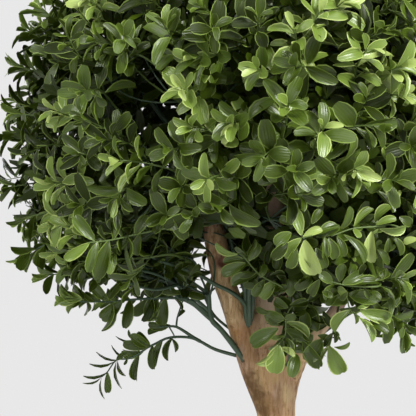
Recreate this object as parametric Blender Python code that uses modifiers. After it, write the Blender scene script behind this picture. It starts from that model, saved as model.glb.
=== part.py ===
"""Artificial double ball topiary in a plain pot.

A stripped natural pole stands in a filled pot, runs right through a lower ball of boxwood
foliage and forks inside an upper one. Each ball is a ring of foliage masses. A mass is one solid:
a stem that starts at the pole or at a bough, a core, and twigs with leaves that stand out of it.
Metres, +Z up, origin in the middle of the pot's flat underside.
"""
import math
import random

import bmesh
import bpy
from mathutils import Matrix, Vector
from mathutils.bvhtree import BVHTree

GAP = 0.0003  # between pieces that meet
MERGED = 0.000005  # points this near are made one

# Pot and fill
POT_HEIGHT = 0.230
POT_BASE_RADIUS = 0.100
POT_TOP_RADIUS = 0.130
POT_WALL = 0.004
RIM_OUT = 0.006  # how far the rim stands out of the wall
RIM_DEPTH = 0.022
POT_SIDES = 40
FILL_TOP = 0.200

# Pole, from its flat cut on the fill to the flat cut under the boughs: height, x, y, half widths
POLE_FOOT = FILL_TOP + GAP
POLE_CUT = 1.0522
POLE = (
    (POLE_FOOT, 0.0000, 0.0000, 0.0285, 0.0270),
    (0.2180, 0.0000, 0.0000, 0.0235, 0.0225),
    (0.2500, -0.0010, 0.0005, 0.0210, 0.0200),
    (0.3400, -0.0040, 0.0020, 0.0196, 0.0190),
    (0.4800, -0.0060, 0.0040, 0.0186, 0.0182),
    (0.6600, 0.0000, 0.0030, 0.0178, 0.0172),
    (0.8400, 0.0090, 0.0000, 0.0170, 0.0164),
    (0.9500, 0.0130, 0.0000, 0.0163, 0.0158),
    (1.0100, 0.0122, 0.0000, 0.0161, 0.0156),
    (1.0314, 0.0090, 0.0000, 0.0196, 0.0172),
    (POLE_CUT, 0.0087, 0.0000, 0.0272, 0.0200),
)
POLE_SIDES = 14

# Boughs: x, y, z, radius at each station. The first three stand on the pole's cut.
BOUGH_FOOT = POLE_CUT + GAP
BOUGH_LEFT = (
    (-0.0105, -0.0065, BOUGH_FOOT, 0.0085),
    (-0.0165, -0.0075, 1.0750, 0.0096),
    (-0.0258, -0.0090, 1.1064, 0.0095),
    (-0.0329, -0.0090, 1.1264, 0.0094),
    (-0.0367, -0.0080, 1.1464, 0.0098),
    (-0.0408, -0.0050, 1.1664, 0.0086),
    (-0.0520, 0.0040, 1.2050, 0.0070),
    (-0.0660, 0.0100, 1.2400, 0.0055),
)
BOUGH_LEADER = (
    (0.0100, 0.0060, BOUGH_FOOT, 0.0140),
    (0.0090, 0.0060, 1.0780, 0.0148),
    (0.0080, 0.0060, 1.1030, 0.0148),
    (0.0078, 0.0070, 1.1314, 0.0142),
    (0.0090, 0.0080, 1.1580, 0.0112),
    (0.0100, 0.0080, 1.1813, 0.0092),
    (0.0118, 0.0095, 1.2250, 0.0088),
    (0.0140, 0.0110, 1.2650, 0.0076),
    (0.0165, 0.0125, 1.3000, 0.0055),
)
BOUGH_RIGHT = (
    (0.0285, -0.0080, BOUGH_FOOT, 0.0064),
    (0.0350, -0.0100, 1.0660, 0.0062),
    (0.0442, -0.0130, 1.0790, 0.0059),
    (0.0620, -0.0180, 1.1030, 0.0052),
    (0.0800, -0.0220, 1.1350, 0.0042),
)
BACK_BRANCHING = 1.1150  # height on the leader where the back bough leaves it
BACK_HEADING = Vector((-0.62, 0.78, 0.0)).normalized()
BACK_PATH = (  # outward and upward from the leader's bark, and the radius there
    (0.0000, 0.0000, 0.0070),
    (0.0120, 0.0110, 0.0072),
    (0.0260, 0.0420, 0.0064),
    (0.0420, 0.0900, 0.0048),
)
BOUGH_SIDES = 10

# Balls of foliage
FLOOR_DROP = 0.905  # a ball is cut flat this share of its radius under its centre
UPPER_CENTRE = Vector((0.0, 0.0, 1.240))
UPPER_RADIUS = 0.226
LEFT_FLOOR = 1.096  # the upper ball is open under this height on its left
LOWER_CENTRE = Vector((0.0, 0.0, 0.660))
LOWER_RADIUS = 0.240

# The open side of the upper ball, where the fork shows
WINDOW_LEFT, WINDOW_RIGHT = -0.095, -0.010
WINDOW_FRONT, WINDOW_TOP = -0.030, 1.160
SLOT_LEFT, SLOT_RIGHT, SLOT_TOP = -0.052, -0.018, 1.118

# Foliage
LEAF_LENGTH = 0.062
LEAF_WIDTH = 0.036
LEAF_THICKNESS = 0.0022
TWIG_RADIUS = 0.0030
STEM_RADIUS = 0.0029
AXIS_STEP = 0.003  # between the places tried for a stem's root
KNEE = 0.008  # a stem leaves the bark squarely for this far
SPRAYS_PER_BALL = 46
LEAF_PAIRS = 2
LEAF_CHOICES = (  # lean from the twig and swing round it, in degrees, in the order tried
    (60.0, 0.0),
    (44.0, 0.0),
    (56.0, 40.0),
    (56.0, -40.0),
    (30.0, 0.0),
    (30.0, 60.0),
    (30.0, -60.0),
)
CORE_SHARE = 0.74  # of the way out to a spray's tip
HUB_SHARE = 0.50
GROWTH_TRIES = 8  # a mass that doesn't fuse is grown again from another seed
CELL_MARGIN = 0.0006
LIMB_MARGIN = 0.0012
CORE_LIMB_MARGIN = 0.0060

# The loose spray that hangs out of the upper ball, low on the left bough: x, y, z of its stem
DROOP_ROOT_SHARE = 0.40  # of the bough's first run
DROOP_PATH = (
    (-0.0390, -0.0040, 1.0656),
    (-0.0516, -0.0060, 1.0730),
    (-0.0600, -0.0080, 1.0790),
    (-0.0850, -0.0140, 1.0740),
    (-0.1080, -0.0180, 1.0620),
    (-0.1300, -0.0200, 1.0480),
    (-0.1440, -0.0210, 1.0400),
)
DROOP_STEM = 0.0022
DROOP_LEAF = 0.030
DROOP_CLEAR = 0.024  # the masses keep this far from it

WOOD = ("stripped_pole_wood", (0.30, 0.18, 0.09), 0.62)
CHARCOAL = ("matte_charcoal_plastic", (0.035, 0.035, 0.037), 0.55)
SOIL = ("dark_fill", (0.030, 0.022, 0.016), 0.95)
LEAF = ("boxwood_leaf_plastic", (0.075, 0.120, 0.030), 0.45)


def clear_scene():
    """Remove every object of the opened scene."""
    for ob in list(bpy.data.objects):
        bpy.data.objects.remove(ob, do_unlink=True)


def make_material(spec):
    """A plain Principled material from (name, colour, roughness)."""
    name, colour, roughness = spec
    mat = bpy.data.materials.get(name)
    if mat is None:
        mat = bpy.data.materials.new(name)
        mat.use_nodes = True
        shader = mat.node_tree.nodes["Principled BSDF"]
        shader.inputs["Base Color"].default_value = (*colour, 1.0)
        shader.inputs["Roughness"].default_value = roughness
        shader.inputs["Metallic"].default_value = 0.0
    return mat


def add_object(name, bm, spec, collection):
    """Turn a bmesh into a named object with its material."""
    mesh = bpy.data.meshes.new(name)
    bm.to_mesh(mesh)
    bm.free()
    mesh.materials.append(make_material(spec))
    ob = bpy.data.objects.new(name, mesh)
    collection.objects.link(ob)
    return ob


# ---------------------------------------------------------------- turned and lofted shapes


def turned(name, profile, sides, spec, collection):
    """A solid of revolution. The (radius, height) profile starts and ends on the axis."""
    bm = bmesh.new()
    verts = [bm.verts.new((radius, 0.0, height)) for radius, height in profile]
    for a, b in zip(verts, verts[1:]):
        bm.edges.new((a, b))
    ob = add_object(name, bm, spec, collection)
    screw = ob.modifiers.new("turn", "SCREW")
    screw.steps = sides
    screw.render_steps = sides
    screw.use_merge_vertices = True
    screw.merge_threshold = 0.00001
    return ob


def make_pot(collection):
    """A plain tapering pot with a stepped rim, open at the top."""
    slope = (POT_TOP_RADIUS - POT_BASE_RADIUS) / POT_HEIGHT

    def wall(height):
        return POT_BASE_RADIUS + slope * height

    rim_low = POT_HEIGHT - RIM_DEPTH
    bead = 0.002
    profile = (
        (0.0, POT_WALL),
        (wall(POT_WALL) - POT_WALL, POT_WALL),
        (wall(POT_HEIGHT) - POT_WALL, POT_HEIGHT - bead),
        (wall(POT_HEIGHT) - POT_WALL + bead, POT_HEIGHT),
        (wall(POT_HEIGHT) + RIM_OUT - bead, POT_HEIGHT),
        (wall(POT_HEIGHT) + RIM_OUT, POT_HEIGHT - bead),
        (wall(rim_low) + RIM_OUT, rim_low + bead),
        (wall(rim_low) + RIM_OUT - bead, rim_low),
        (wall(rim_low), rim_low),
        (wall(0.004), 0.004),
        (POT_BASE_RADIUS - 0.004, 0.0),
        (0.0, 0.0),
    )
    return turned("pot", profile, POT_SIDES, CHARCOAL, collection)


def make_fill(collection):
    """The fill the pole stands on, clear of the pot all round."""
    slope = (POT_TOP_RADIUS - POT_BASE_RADIUS) / POT_HEIGHT
    low = POT_WALL + GAP
    inner = POT_BASE_RADIUS - POT_WALL - 2.0 * GAP
    profile = (
        (0.0, FILL_TOP),
        (inner + slope * FILL_TOP, FILL_TOP),
        (inner + slope * low, low),
        (0.0, low),
    )
    return turned("pot_fill", profile, POT_SIDES, SOIL, collection)


def ring_of(bm, centre, normal, half_x, half_y, sides, capped):
    """One section of a limb: its edges, in the plane square to the normal."""
    turn = Vector((0.0, 0.0, 1.0)).rotation_difference(normal)
    frame = Matrix.LocRotScale(centre, turn, Vector((half_x, half_y, 1.0)))
    made = bmesh.ops.create_circle(bm, cap_ends=capped, segments=sides, radius=1.0, matrix=frame)
    return list({edge for vert in made["verts"] for edge in vert.link_edges})


def loft(sections, sides, foot_normal, tip_normal=None):
    """A closed limb through (centre, half_x, half_y) sections, as a bmesh."""
    bm = bmesh.new()
    last = len(sections) - 1
    before = None
    for i, (centre, half_x, half_y) in enumerate(sections):
        ahead = sections[min(i + 1, last)][0]
        behind = sections[max(i - 1, 0)][0]
        normal = (ahead - behind).normalized()
        if i == 0:
            normal = foot_normal
        if i == last and tip_normal:
            normal = tip_normal
        ring = ring_of(bm, centre, normal, half_x, half_y, sides, i in (0, last))
        if before:
            bmesh.ops.bridge_loops(bm, edges=before + ring)
        before = ring
    bmesh.ops.triangulate(bm, faces=bm.faces)
    bmesh.ops.recalc_face_normals(bm, faces=bm.faces)
    bm.normal_update()
    return bm


class Limb:
    """The pole or a bough: its sections, its solid and a search tree over its bark."""

    def __init__(self, name, sections, sides, foot_normal, tip_normal, collection):
        self.sections = sections
        solid = loft(sections, sides, foot_normal, tip_normal)
        self.tree = BVHTree.FromBMesh(solid)
        self.ob = add_object(name, solid, WOOD, collection)

    def axis_points(self):
        """Points along the axis, some millimetres apart."""
        for (a, _, _), (b, _, _) in zip(self.sections, self.sections[1:]):
            steps = max(1, int((b - a).length / AXIS_STEP))
            for i in range(steps):
                yield a.lerp(b, i / steps)


def make_pole(collection):
    """The pole, with a level cut at both ends."""
    up = Vector((0.0, 0.0, 1.0))
    sections = [(Vector((x, y, z)), half_x, half_y) for z, x, y, half_x, half_y in POLE]
    return Limb("trunk", sections, POLE_SIDES, up, up, collection)


def make_bough(name, stations, foot_normal, collection):
    """One tapering bough through (x, y, z, radius) stations."""
    sections = [(Vector((x, y, z)), r, r) for x, y, z, r in stations]
    return Limb(name, sections, BOUGH_SIDES, foot_normal, None, collection)


def back_stations(leader):
    """Stations of the back bough, which starts clear of the leader's bark."""
    axis_x, axis_y = BOUGH_LEADER[2][0], BOUGH_LEADER[2][1]
    inside = Vector((axis_x, axis_y, BACK_BRANCHING))
    hit, normal, _, _ = leader.tree.ray_cast(inside + 0.1 * BACK_HEADING, -BACK_HEADING)
    normal = Vector((normal.x, normal.y, 0.0)).normalized()
    foot = hit + normal * 2.0 * GAP
    stations = []
    for out, rise, radius in BACK_PATH:
        point = foot + BACK_HEADING * out + Vector((0.0, 0.0, rise))
        stations.append((point.x, point.y, point.z, radius))
    return stations, normal


# ---------------------------------------------------------------- the space each mass keeps to


class Ball:
    """One ball of the topiary: its size, the headings of its masses and its limbs."""

    def __init__(self, name, centre, radius, apex, headings, limbs):
        self.name = name
        self.centre = centre
        self.radius = radius
        self.apex = apex  # on the pole's or the leader's axis, where the wedges meet
        self.headings = headings
        self.limbs = limbs

    def floor(self, x):
        """Height of the flat underside at x. The upper ball is open lower left."""
        level = self.centre.z - FLOOR_DROP * self.radius
        if self.name == "upper":
            blend = min(max((0.030 - x) / 0.060, 0.0), 1.0)
            level += (LEFT_FLOOR - level) * blend
        return level

    def reach(self, heading):
        """How far foliage stands out from the centre along a heading."""
        if heading.z >= -0.05:
            return self.radius
        level = self.floor(self.centre.x + 0.7 * self.radius * heading.x)
        return min(self.radius, (self.centre.z - level) / -heading.z)

    def owner(self, heading):
        """Name of the mass that a heading belongs to."""
        return max(self.headings, key=lambda name: heading.dot(self.headings[name]))

    def in_cell(self, name, point, margin):
        """True where a point keeps to the mass's own wedge of the ball."""
        own = self.headings[name]
        arm = point - self.apex
        for other, heading in self.headings.items():
            if other != name and arm.dot((own - heading).normalized()) < margin:
                return False
        return True

    def clear_of_limbs(self, point, margin):
        """True where a point lies outside every limb by the margin."""
        for limb in self.limbs:
            near, normal, _, distance = limb.tree.find_nearest(point, margin + 0.05)
            if near is not None and (distance < margin or (point - near).dot(normal) < 0.0):
                return False
        return True

    def free(self, name, point, margin):
        """True where a mass may hold a point: in its wedge, off the limbs and out of the gaps."""
        if not self.in_cell(name, point, CELL_MARGIN):
            return False
        if self.name == "upper" and in_gap(point):
            return False
        if (point - self.centre).length > self.radius:
            return False
        if point.z < self.floor(point.x) - 0.004:
            return False
        return self.clear_of_limbs(point, margin)


def in_gap(point):
    """True in the open side of the upper ball and along the loose spray."""
    in_front = WINDOW_LEFT < point.x < WINDOW_RIGHT and point.y < WINDOW_FRONT
    if in_front and point.z < WINDOW_TOP:
        return True
    if SLOT_LEFT < point.x < SLOT_RIGHT and point.z < SLOT_TOP:
        return True
    return distance_to_path(point, DROOP_PATH) < DROOP_CLEAR


def distance_to_path(point, path):
    """Distance from a point to a path of straight runs."""
    best = 1.0
    for a, b in zip(path, path[1:]):
        start, run = Vector(a), Vector(b) - Vector(a)
        share = min(max((point - start).dot(run) / run.length_squared, 0.0), 1.0)
        best = min(best, (point - start - run * share).length)
    return best


def heading_of(azimuth, elevation):
    """Unit vector from an azimuth and an elevation in degrees. Azimuth -90 looks to the front."""
    a, e = math.radians(azimuth), math.radians(elevation)
    return Vector((math.cos(a) * math.cos(e), math.sin(a) * math.cos(e), math.sin(e)))


def spiral_headings(count):
    """Headings spread evenly over a sphere on a golden spiral."""
    golden = math.pi * (3.0 - math.sqrt(5.0))
    for i in range(count):
        height = 1.0 - 2.0 * (i + 0.5) / count
        across = math.sqrt(1.0 - height * height)
        yield Vector((across * math.cos(golden * i), across * math.sin(golden * i), height))


# ---------------------------------------------------------------- leaves, twigs and masses


def leaf_points(root, along, facing, length):
    """Corners of an eight-faced leaf: root, tip, two sides, back and front ridge."""
    across = along.cross(facing).normalized()
    facing = across.cross(along).normalized()
    wide = LEAF_WIDTH * length / LEAF_LENGTH
    broadest = root + along * (0.58 * length)
    return (
        root,
        root + along * length,
        broadest - across * (wide / 2.0),
        broadest + across * (wide / 2.0),
        broadest - facing * (LEAF_THICKNESS / 2.0),
        broadest + facing * (LEAF_THICKNESS / 2.0),
    )


def add_leaf(points, name, collection):
    """An eight-faced leaf, from a four-sided, two-ring sphere drawn out to the corners."""
    root, tip, left, right, back, front = points
    middle = (left + right) / 2.0
    bm = bmesh.new()
    bmesh.ops.create_uvsphere(bm, u_segments=4, v_segments=2, radius=1.0)
    for vert in bm.verts:
        x, y, z = vert.co
        spine = tip if z > 0.0 else root
        vert.co = middle + (right - middle) * x + (front - middle) * y + (spine - middle) * abs(z)
    bmesh.ops.recalc_face_normals(bm, faces=bm.faces)
    return add_object(name, bm, LEAF, collection)


def add_rod(start, end, radius, tip_radius, name, collection):
    """A straight three-sided twig."""
    run = end - start
    turn = Vector((0.0, 0.0, 1.0)).rotation_difference(run.normalized())
    frame = Matrix.LocRotScale((start + end) / 2.0, turn, None)
    bm = bmesh.new()
    bmesh.ops.create_cone(
        bm,
        cap_ends=True,
        segments=3,
        radius1=radius,
        radius2=tip_radius,
        depth=run.length,
        matrix=frame,
    )
    return add_object(name, bm, LEAF, collection)


def path_is_free(ball, name, start, end, margin):
    """True where a straight run keeps to the mass's space."""
    steps = max(2, int((end - start).length / 0.006))
    return all(ball.free(name, start.lerp(end, i / steps), margin) for i in range(steps + 1))


def leaf_is_free(ball, name, points):
    """True where a leaf's outline keeps to the mass's space."""
    root, tip, left, right, back, front = points
    rim = [tip, left, right, back, front]
    rim += [(tip + left) / 2.0, (tip + right) / 2.0, (root + left) / 2.0, (root + right) / 2.0]
    return all(ball.free(name, point, LIMB_MARGIN) for point in rim)


def spray_leaves(start, end, rng, pairs, length):
    """Leaves of one spray, as lists of choices: each leaf may lean in closer to its twig."""
    along = (end - start).normalized()
    side = along.orthogonal().normalized()
    side = Matrix.Rotation(rng.uniform(0.0, math.pi), 3, along) @ side
    leaves = []
    for pair in range(pairs):
        share = 1.0 - (0.20 + 0.45 * pair) * length / (end - start).length
        foot = start.lerp(end, max(share, 0.25))
        side = Matrix.Rotation(math.radians(90.0 + rng.uniform(-15, 15)), 3, along) @ side
        size = length * rng.uniform(0.90, 1.08)
        for out in (side, -side):
            choices = []
            for lean, swing in LEAF_CHOICES:
                angle = math.radians(lean + rng.uniform(-5, 5))
                aside = Matrix.Rotation(math.radians(swing), 3, along) @ out
                reach = along * math.cos(angle) + aside * math.sin(angle)
                facing = along * math.sin(angle) - aside * math.cos(angle)
                choices.append(leaf_points(foot - reach * 0.0006, reach, facing, size))
            leaves.append(choices)
    choices = []
    for tilt in (0.25, 0.0, -0.25):
        reach = (along + side * tilt).normalized()
        choices.append(leaf_points(end - along * (0.25 * length), reach, side, 0.9 * length))
    leaves.append(choices)
    return leaves


def add_core(ball, name, hub, collection):
    """A faceted core round the hub, drawn out as far as the mass's space lets it."""
    bm = bmesh.new()
    bmesh.ops.create_icosphere(bm, subdivisions=2, radius=1.0)
    step = 0.004
    for vert in bm.verts:
        heading = vert.co.normalized()
        far = 0.010
        while far < 0.5 * ball.radius:
            point = hub + heading * (far + step)
            arm = point - ball.centre
            inside = arm.length < CORE_SHARE * ball.reach(arm.normalized())
            if not inside or not ball.free(name, point, CORE_LIMB_MARGIN):
                break
            far += step
        vert.co = hub + heading * far
    while any(limb.tree.overlap(BVHTree.FromBMesh(bm)) for limb in ball.limbs):
        for vert in bm.verts:
            vert.co = hub + (vert.co - hub) * 0.94
    return add_object(name, bm, LEAF, collection)


def stem_root(ball, name, hub):
    """Where a mass's stem leaves the nearest limb: a point just off the bark and the way out."""
    best = None
    for limb in ball.limbs:
        for inside in limb.axis_points():
            toward = (hub - inside).normalized()
            hit, normal, _, _ = limb.tree.ray_cast(hub, -toward)
            if hit is None or normal.dot(toward) < 0.4:
                continue
            foot = hit + normal * GAP
            if not ball.in_cell(name, foot, STEM_RADIUS + CELL_MARGIN):
                continue
            if not path_is_free(ball, name, foot + normal * KNEE, hub, STEM_RADIUS):
                continue
            length = (hub - foot).length
            if best is None or length < best[0]:
                best = (length, foot, normal)
    if best is None:
        raise ValueError("no limb in reach of " + name)
    return best[1], best[2]


def fuse(name, base, pieces, collection):
    """Join a mass's pieces into one closed solid and drop what floats free of it."""
    join = base.modifiers.new("fuse", "BOOLEAN")
    join.operation = "UNION"
    join.operand_type = "COLLECTION"
    join.collection = pieces
    join.solver = "EXACT"
    graph = bpy.context.evaluated_depsgraph_get()
    mesh = bpy.data.meshes.new_from_object(base.evaluated_get(graph))
    bm = bmesh.new()
    bm.from_mesh(mesh)
    bpy.data.meshes.remove(mesh)
    for ob in list(pieces.objects) + [base]:
        bpy.data.objects.remove(ob, do_unlink=True)
    bpy.data.collections.remove(pieces)
    bmesh.ops.triangulate(bm, faces=bm.faces)
    bmesh.ops.remove_doubles(bm, verts=bm.verts, dist=MERGED)
    bmesh.ops.dissolve_degenerate(bm, edges=bm.edges, dist=MERGED)
    bmesh.ops.triangulate(bm, faces=bm.faces)
    keep_largest_shell(bm)
    if any(len(edge.link_faces) != 2 for edge in bm.edges):
        bm.free()
        return None
    return add_object(name, bm, LEAF, collection)


def keep_largest_shell(bm):
    """Delete every shell but the one with the most faces."""
    todo = set(bm.faces)
    shells = []
    while todo:
        front = [todo.pop()]
        shell = set(front)
        while front:
            face = front.pop()
            for edge in face.edges:
                for near in edge.link_faces:
                    if near in todo:
                        todo.discard(near)
                        shell.add(near)
                        front.append(near)
        shells.append(shell)
    shells.sort(key=len, reverse=True)
    spare = [face for shell in shells[1:] for face in shell]
    bmesh.ops.delete(bm, geom=spare, context="FACES")


def make_mass(ball, name, sprays, seed, collection):
    """One mass: stem, core and leafy twigs, fused. None where they don't fuse into one solid."""
    rng = random.Random(seed)
    label = ball.name + "_mass_" + name
    heading = ball.headings[name]
    hub = ball.centre + heading * (HUB_SHARE * ball.reach(heading))
    pieces = bpy.data.collections.new(label + "_pieces")
    bpy.context.scene.collection.children.link(pieces)
    base = add_core(ball, name, hub, collection)
    foot, normal = stem_root(ball, name, hub)
    knee = foot + normal * KNEE
    add_rod(foot, knee, STEM_RADIUS, STEM_RADIUS, "stem", pieces)
    add_rod(knee - (hub - knee).normalized() * 0.004, hub, STEM_RADIUS, STEM_RADIUS, "stem", pieces)
    for spray in sprays:
        tip = ball.centre + spray * (ball.reach(spray) - 0.67 * LEAF_LENGTH)
        root = hub.lerp(tip, 0.30)
        if not path_is_free(ball, name, root, tip, LIMB_MARGIN + TWIG_RADIUS):
            continue
        add_rod(root, tip, TWIG_RADIUS * 1.2, TWIG_RADIUS * 0.6, "twig", pieces)
        for choices in spray_leaves(root, tip, rng, LEAF_PAIRS, LEAF_LENGTH):
            for points in choices:
                if leaf_is_free(ball, name, points):
                    add_leaf(points, "leaf", pieces)
                    break
    return fuse(label, base, pieces, collection)


def make_masses(ball, seed, collection):
    """All masses of a ball. Each spray goes to the mass whose heading is nearest."""
    rng = random.Random(seed)
    shares = {name: [] for name in ball.headings}
    for heading in spiral_headings(SPRAYS_PER_BALL):
        shake = Vector([rng.uniform(-0.06, 0.06) for _ in range(3)])
        heading = (heading + shake).normalized()
        name = ball.owner(heading)
        inward = (heading + 0.16 * ball.headings[name]).normalized()
        shares[name].append(inward)
    for order, (name, sprays) in enumerate(shares.items()):
        for attempt in range(GROWTH_TRIES):
            if make_mass(ball, name, sprays, seed + order + 100 * attempt, collection):
                break


def make_droop(bough, collection):
    """The loose spray: a thin stem out of a bough's side, hanging, with pairs of leaves."""
    rng = random.Random(77)
    first = Vector(DROOP_PATH[0])
    inside = bough.sections[0][0].lerp(bough.sections[1][0], DROOP_ROOT_SHARE)
    hit, normal, _, _ = bough.tree.ray_cast(first, (inside - first).normalized())
    foot = hit + normal * GAP
    path = [foot, foot + normal * 0.006] + [Vector(p) for p in DROOP_PATH]
    pieces = bpy.data.collections.new("loose_spray_pieces")
    bpy.context.scene.collection.children.link(pieces)
    base = add_rod(path[0], path[1], DROOP_STEM, DROOP_STEM, "stem", collection)
    for a, b in zip(path[1:], path[2:]):
        lap = (b - a).normalized() * 0.0015
        add_rod(a - lap, b + lap, DROOP_STEM, DROOP_STEM * 0.9, "stem", pieces)
    for a, b in zip(path[3:], path[4:]):
        leaves = spray_leaves(a, b, rng, 1, DROOP_LEAF)
        if b is not path[-1]:
            leaves.pop()  # only the last run ends in a leaf
        for choices in leaves:
            add_leaf(choices[0], "leaf", pieces)
    return fuse("loose_spray", base, pieces, collection)


def main():
    """Build the pot, the pole, its boughs and the masses of both balls."""
    clear_scene()
    tree = bpy.data.collections.new("double_ball_topiary")
    bpy.context.scene.collection.children.link(tree)
    make_pot(tree)
    make_fill(tree)
    up = Vector((0.0, 0.0, 1.0))
    pole = make_pole(tree)
    left = make_bough("bough_left", BOUGH_LEFT, up, tree)
    leader = make_bough("bough_leader", BOUGH_LEADER, up, tree)
    right = make_bough("bough_right", BOUGH_RIGHT, up, tree)
    stations, out = back_stations(leader)
    back = make_bough("bough_back", stations, out, tree)
    upper_headings = {
        "top": heading_of(0, 90),
        "front": heading_of(-90, 24),
        "right": heading_of(0, 24),
        "back": heading_of(90, 24),
        "left": heading_of(180, 24),
        "low_front_right": heading_of(-54, -30),
        "low_back_right": heading_of(36, -30),
        "low_back_left": heading_of(126, -30),
        "low_front_left": heading_of(-144, -30),
    }
    lower_headings = {
        "high_front_right": heading_of(-45, 34),
        "high_back_right": heading_of(45, 34),
        "high_back_left": heading_of(135, 34),
        "high_front_left": heading_of(-135, 34),
        "low_front": heading_of(-90, -28),
        "low_right": heading_of(0, -28),
        "low_back": heading_of(90, -28),
        "low_left": heading_of(180, -28),
    }
    make_droop(left, tree)
    upper_limbs = [pole, left, leader, right, back]
    apex = Vector((0.0125, 0.0105, UPPER_CENTRE.z))
    upper = Ball("upper", UPPER_CENTRE, UPPER_RADIUS, apex, upper_headings, upper_limbs)
    make_masses(upper, 11, tree)
    apex = Vector((0.0000, 0.0030, LOWER_CENTRE.z))
    lower = Ball("lower", LOWER_CENTRE, LOWER_RADIUS, apex, lower_headings, [pole])
    make_masses(lower, 23, tree)


main()
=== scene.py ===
"""Looks of an artificial double ball topiary: moulded leaves and stems, a stripped pole, a plain pot."""
import logging
import math
import random
from dataclasses import dataclass, field, replace
from enum import IntEnum
from typing import Iterator, Sequence

import bpy
import numpy as np
from mathutils import Matrix, Vector, noise
from mathutils.bvhtree import BVHTree


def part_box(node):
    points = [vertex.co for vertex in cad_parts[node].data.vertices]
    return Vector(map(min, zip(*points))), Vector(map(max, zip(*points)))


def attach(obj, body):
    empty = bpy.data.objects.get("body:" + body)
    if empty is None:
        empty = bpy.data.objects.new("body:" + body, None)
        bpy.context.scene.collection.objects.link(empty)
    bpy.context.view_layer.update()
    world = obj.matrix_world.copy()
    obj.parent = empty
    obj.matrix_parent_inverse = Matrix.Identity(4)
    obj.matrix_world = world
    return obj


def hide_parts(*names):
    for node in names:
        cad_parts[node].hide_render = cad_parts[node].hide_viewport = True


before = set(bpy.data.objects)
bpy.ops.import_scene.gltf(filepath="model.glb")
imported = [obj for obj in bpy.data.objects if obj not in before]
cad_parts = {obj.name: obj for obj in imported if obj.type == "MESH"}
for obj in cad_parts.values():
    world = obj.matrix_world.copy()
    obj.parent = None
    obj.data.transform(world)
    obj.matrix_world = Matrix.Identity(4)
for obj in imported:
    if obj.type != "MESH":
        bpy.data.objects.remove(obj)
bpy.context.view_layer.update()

logging.basicConfig(level=logging.INFO, format="%(message)s")
log = logging.getLogger("topiary")

BODY = "root"
MM = 0.001
Tree = bpy.types.NodeTree
Node = bpy.types.Node
Socket = bpy.types.NodeSocket
Colour = tuple[float, float, float, float]
Materials = Sequence[bpy.types.Material]


# ---------------------------------------------------------------------------------- materials


def linear(hex_colour: str) -> Colour:
    """Turn an sRGB hex colour into a linear RGBA value.

    Args:
        hex_colour: Colour such as "8B6B47".

    Returns:
        Linear red, green, blue and an alpha of 1.
    """
    parts = [int(hex_colour[i : i + 2], 16) / 255.0 for i in (0, 2, 4)]
    red, green, blue = [p / 12.92 if p <= 0.04045 else ((p + 0.055) / 1.055) ** 2.4 for p in parts]
    return (red, green, blue, 1.0)


def add_node(tree: Tree, kind: str, inputs: dict | None = None, **settings: str) -> Node:
    """Add a node, set it up and link it.

    Args:
        tree: Node tree of a material.
        kind: Node type, such as "ShaderNodeTexNoise".
        inputs: Values or output sockets by input name or number.
        **settings: Properties of the node.

    Returns:
        The new node.
    """
    node = tree.nodes.new(kind)
    for key, value in settings.items():
        setattr(node, key, value)
    for key, value in (inputs or {}).items():
        if isinstance(value, bpy.types.NodeSocket):
            tree.links.new(value, node.inputs[key])
        else:
            node.inputs[key].default_value = value
    return node


def shader_of(name: str) -> tuple[bpy.types.Material, Node]:
    """A new material and its Principled shader.

    Args:
        name: Name of the material.

    Returns:
        The material and its shader node.
    """
    mat = bpy.data.materials.new(name)
    mat.use_nodes = True
    return mat, mat.node_tree.nodes["Principled BSDF"]


def set_ramp(node: Node, stops: Sequence[tuple[float, str]]) -> None:
    """Give a colour ramp its stops.

    Args:
        node: A Color Ramp node.
        stops: Position and hex colour of each stop.
    """
    ramp = node.color_ramp
    while len(ramp.elements) < len(stops):
        ramp.elements.new(0.5)
    for element, (place, colour) in zip(ramp.elements, stops):
        element.position = place
        element.color = linear(colour)


def noise_node(tree: Tree, place: Socket, grain: float, detail: float, **more: float) -> Node:
    """Add a noise node with lumps of one size.

    Args:
        tree: Node tree of a material.
        place: Socket of its coordinates.
        grain: Size of the lumps, in metres.
        detail: Its detail.
        **more: Its other inputs.

    Returns:
        The node.
    """
    inputs = {"Vector": place, "Scale": 1.0 / grain, "Detail": detail, **more}
    return add_node(tree, "ShaderNodeTexNoise", inputs)


def fitted(tree: Tree, value: Socket, old: tuple = (0.0, 1.0), new: tuple = (0.0, 1.0)) -> Socket:
    """Fit a value from one range into another.

    Args:
        tree: Node tree of a material.
        value: Socket of the value.
        old: Both ends of the range that it comes from.
        new: Both ends of the range that it goes to.

    Returns:
        The socket of the fitted value.
    """
    limits = {"From Min": old[0], "From Max": old[1], "To Min": new[0], "To Max": new[1]}
    return add_node(tree, "ShaderNodeMapRange", {"Value": value, **limits}).outputs["Result"]


def blended(
    tree: Tree, share: float | Socket, under: Socket, over: Colour | Socket, **settings: str
) -> Socket:
    """Blend one colour over another.

    Args:
        tree: Node tree of a material.
        share: Value or socket of the upper colour's share.
        under: Socket of the lower colour.
        over: The upper colour or its socket.
        **settings: Further properties of the mix node.

    Returns:
        The socket of the blended colour.
    """
    mixed = add_node(tree, "ShaderNodeMix", {0: share, 6: under, 7: over}, data_type="RGBA", **settings)
    return mixed.outputs[2]


def emboss(tree: Tree, shader: Node, height: Socket, strength: float, depth: float) -> None:
    """Give a shader relief.

    Args:
        tree: Node tree of a material.
        shader: Its shader.
        height: Socket of the relief's height.
        strength: Its strength.
        depth: Its depth, in metres.
    """
    relief = add_node(tree, "ShaderNodeBump", {"Height": height, "Strength": strength, "Distance": depth})
    tree.links.new(relief.outputs["Normal"], shader.inputs["Normal"])


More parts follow.
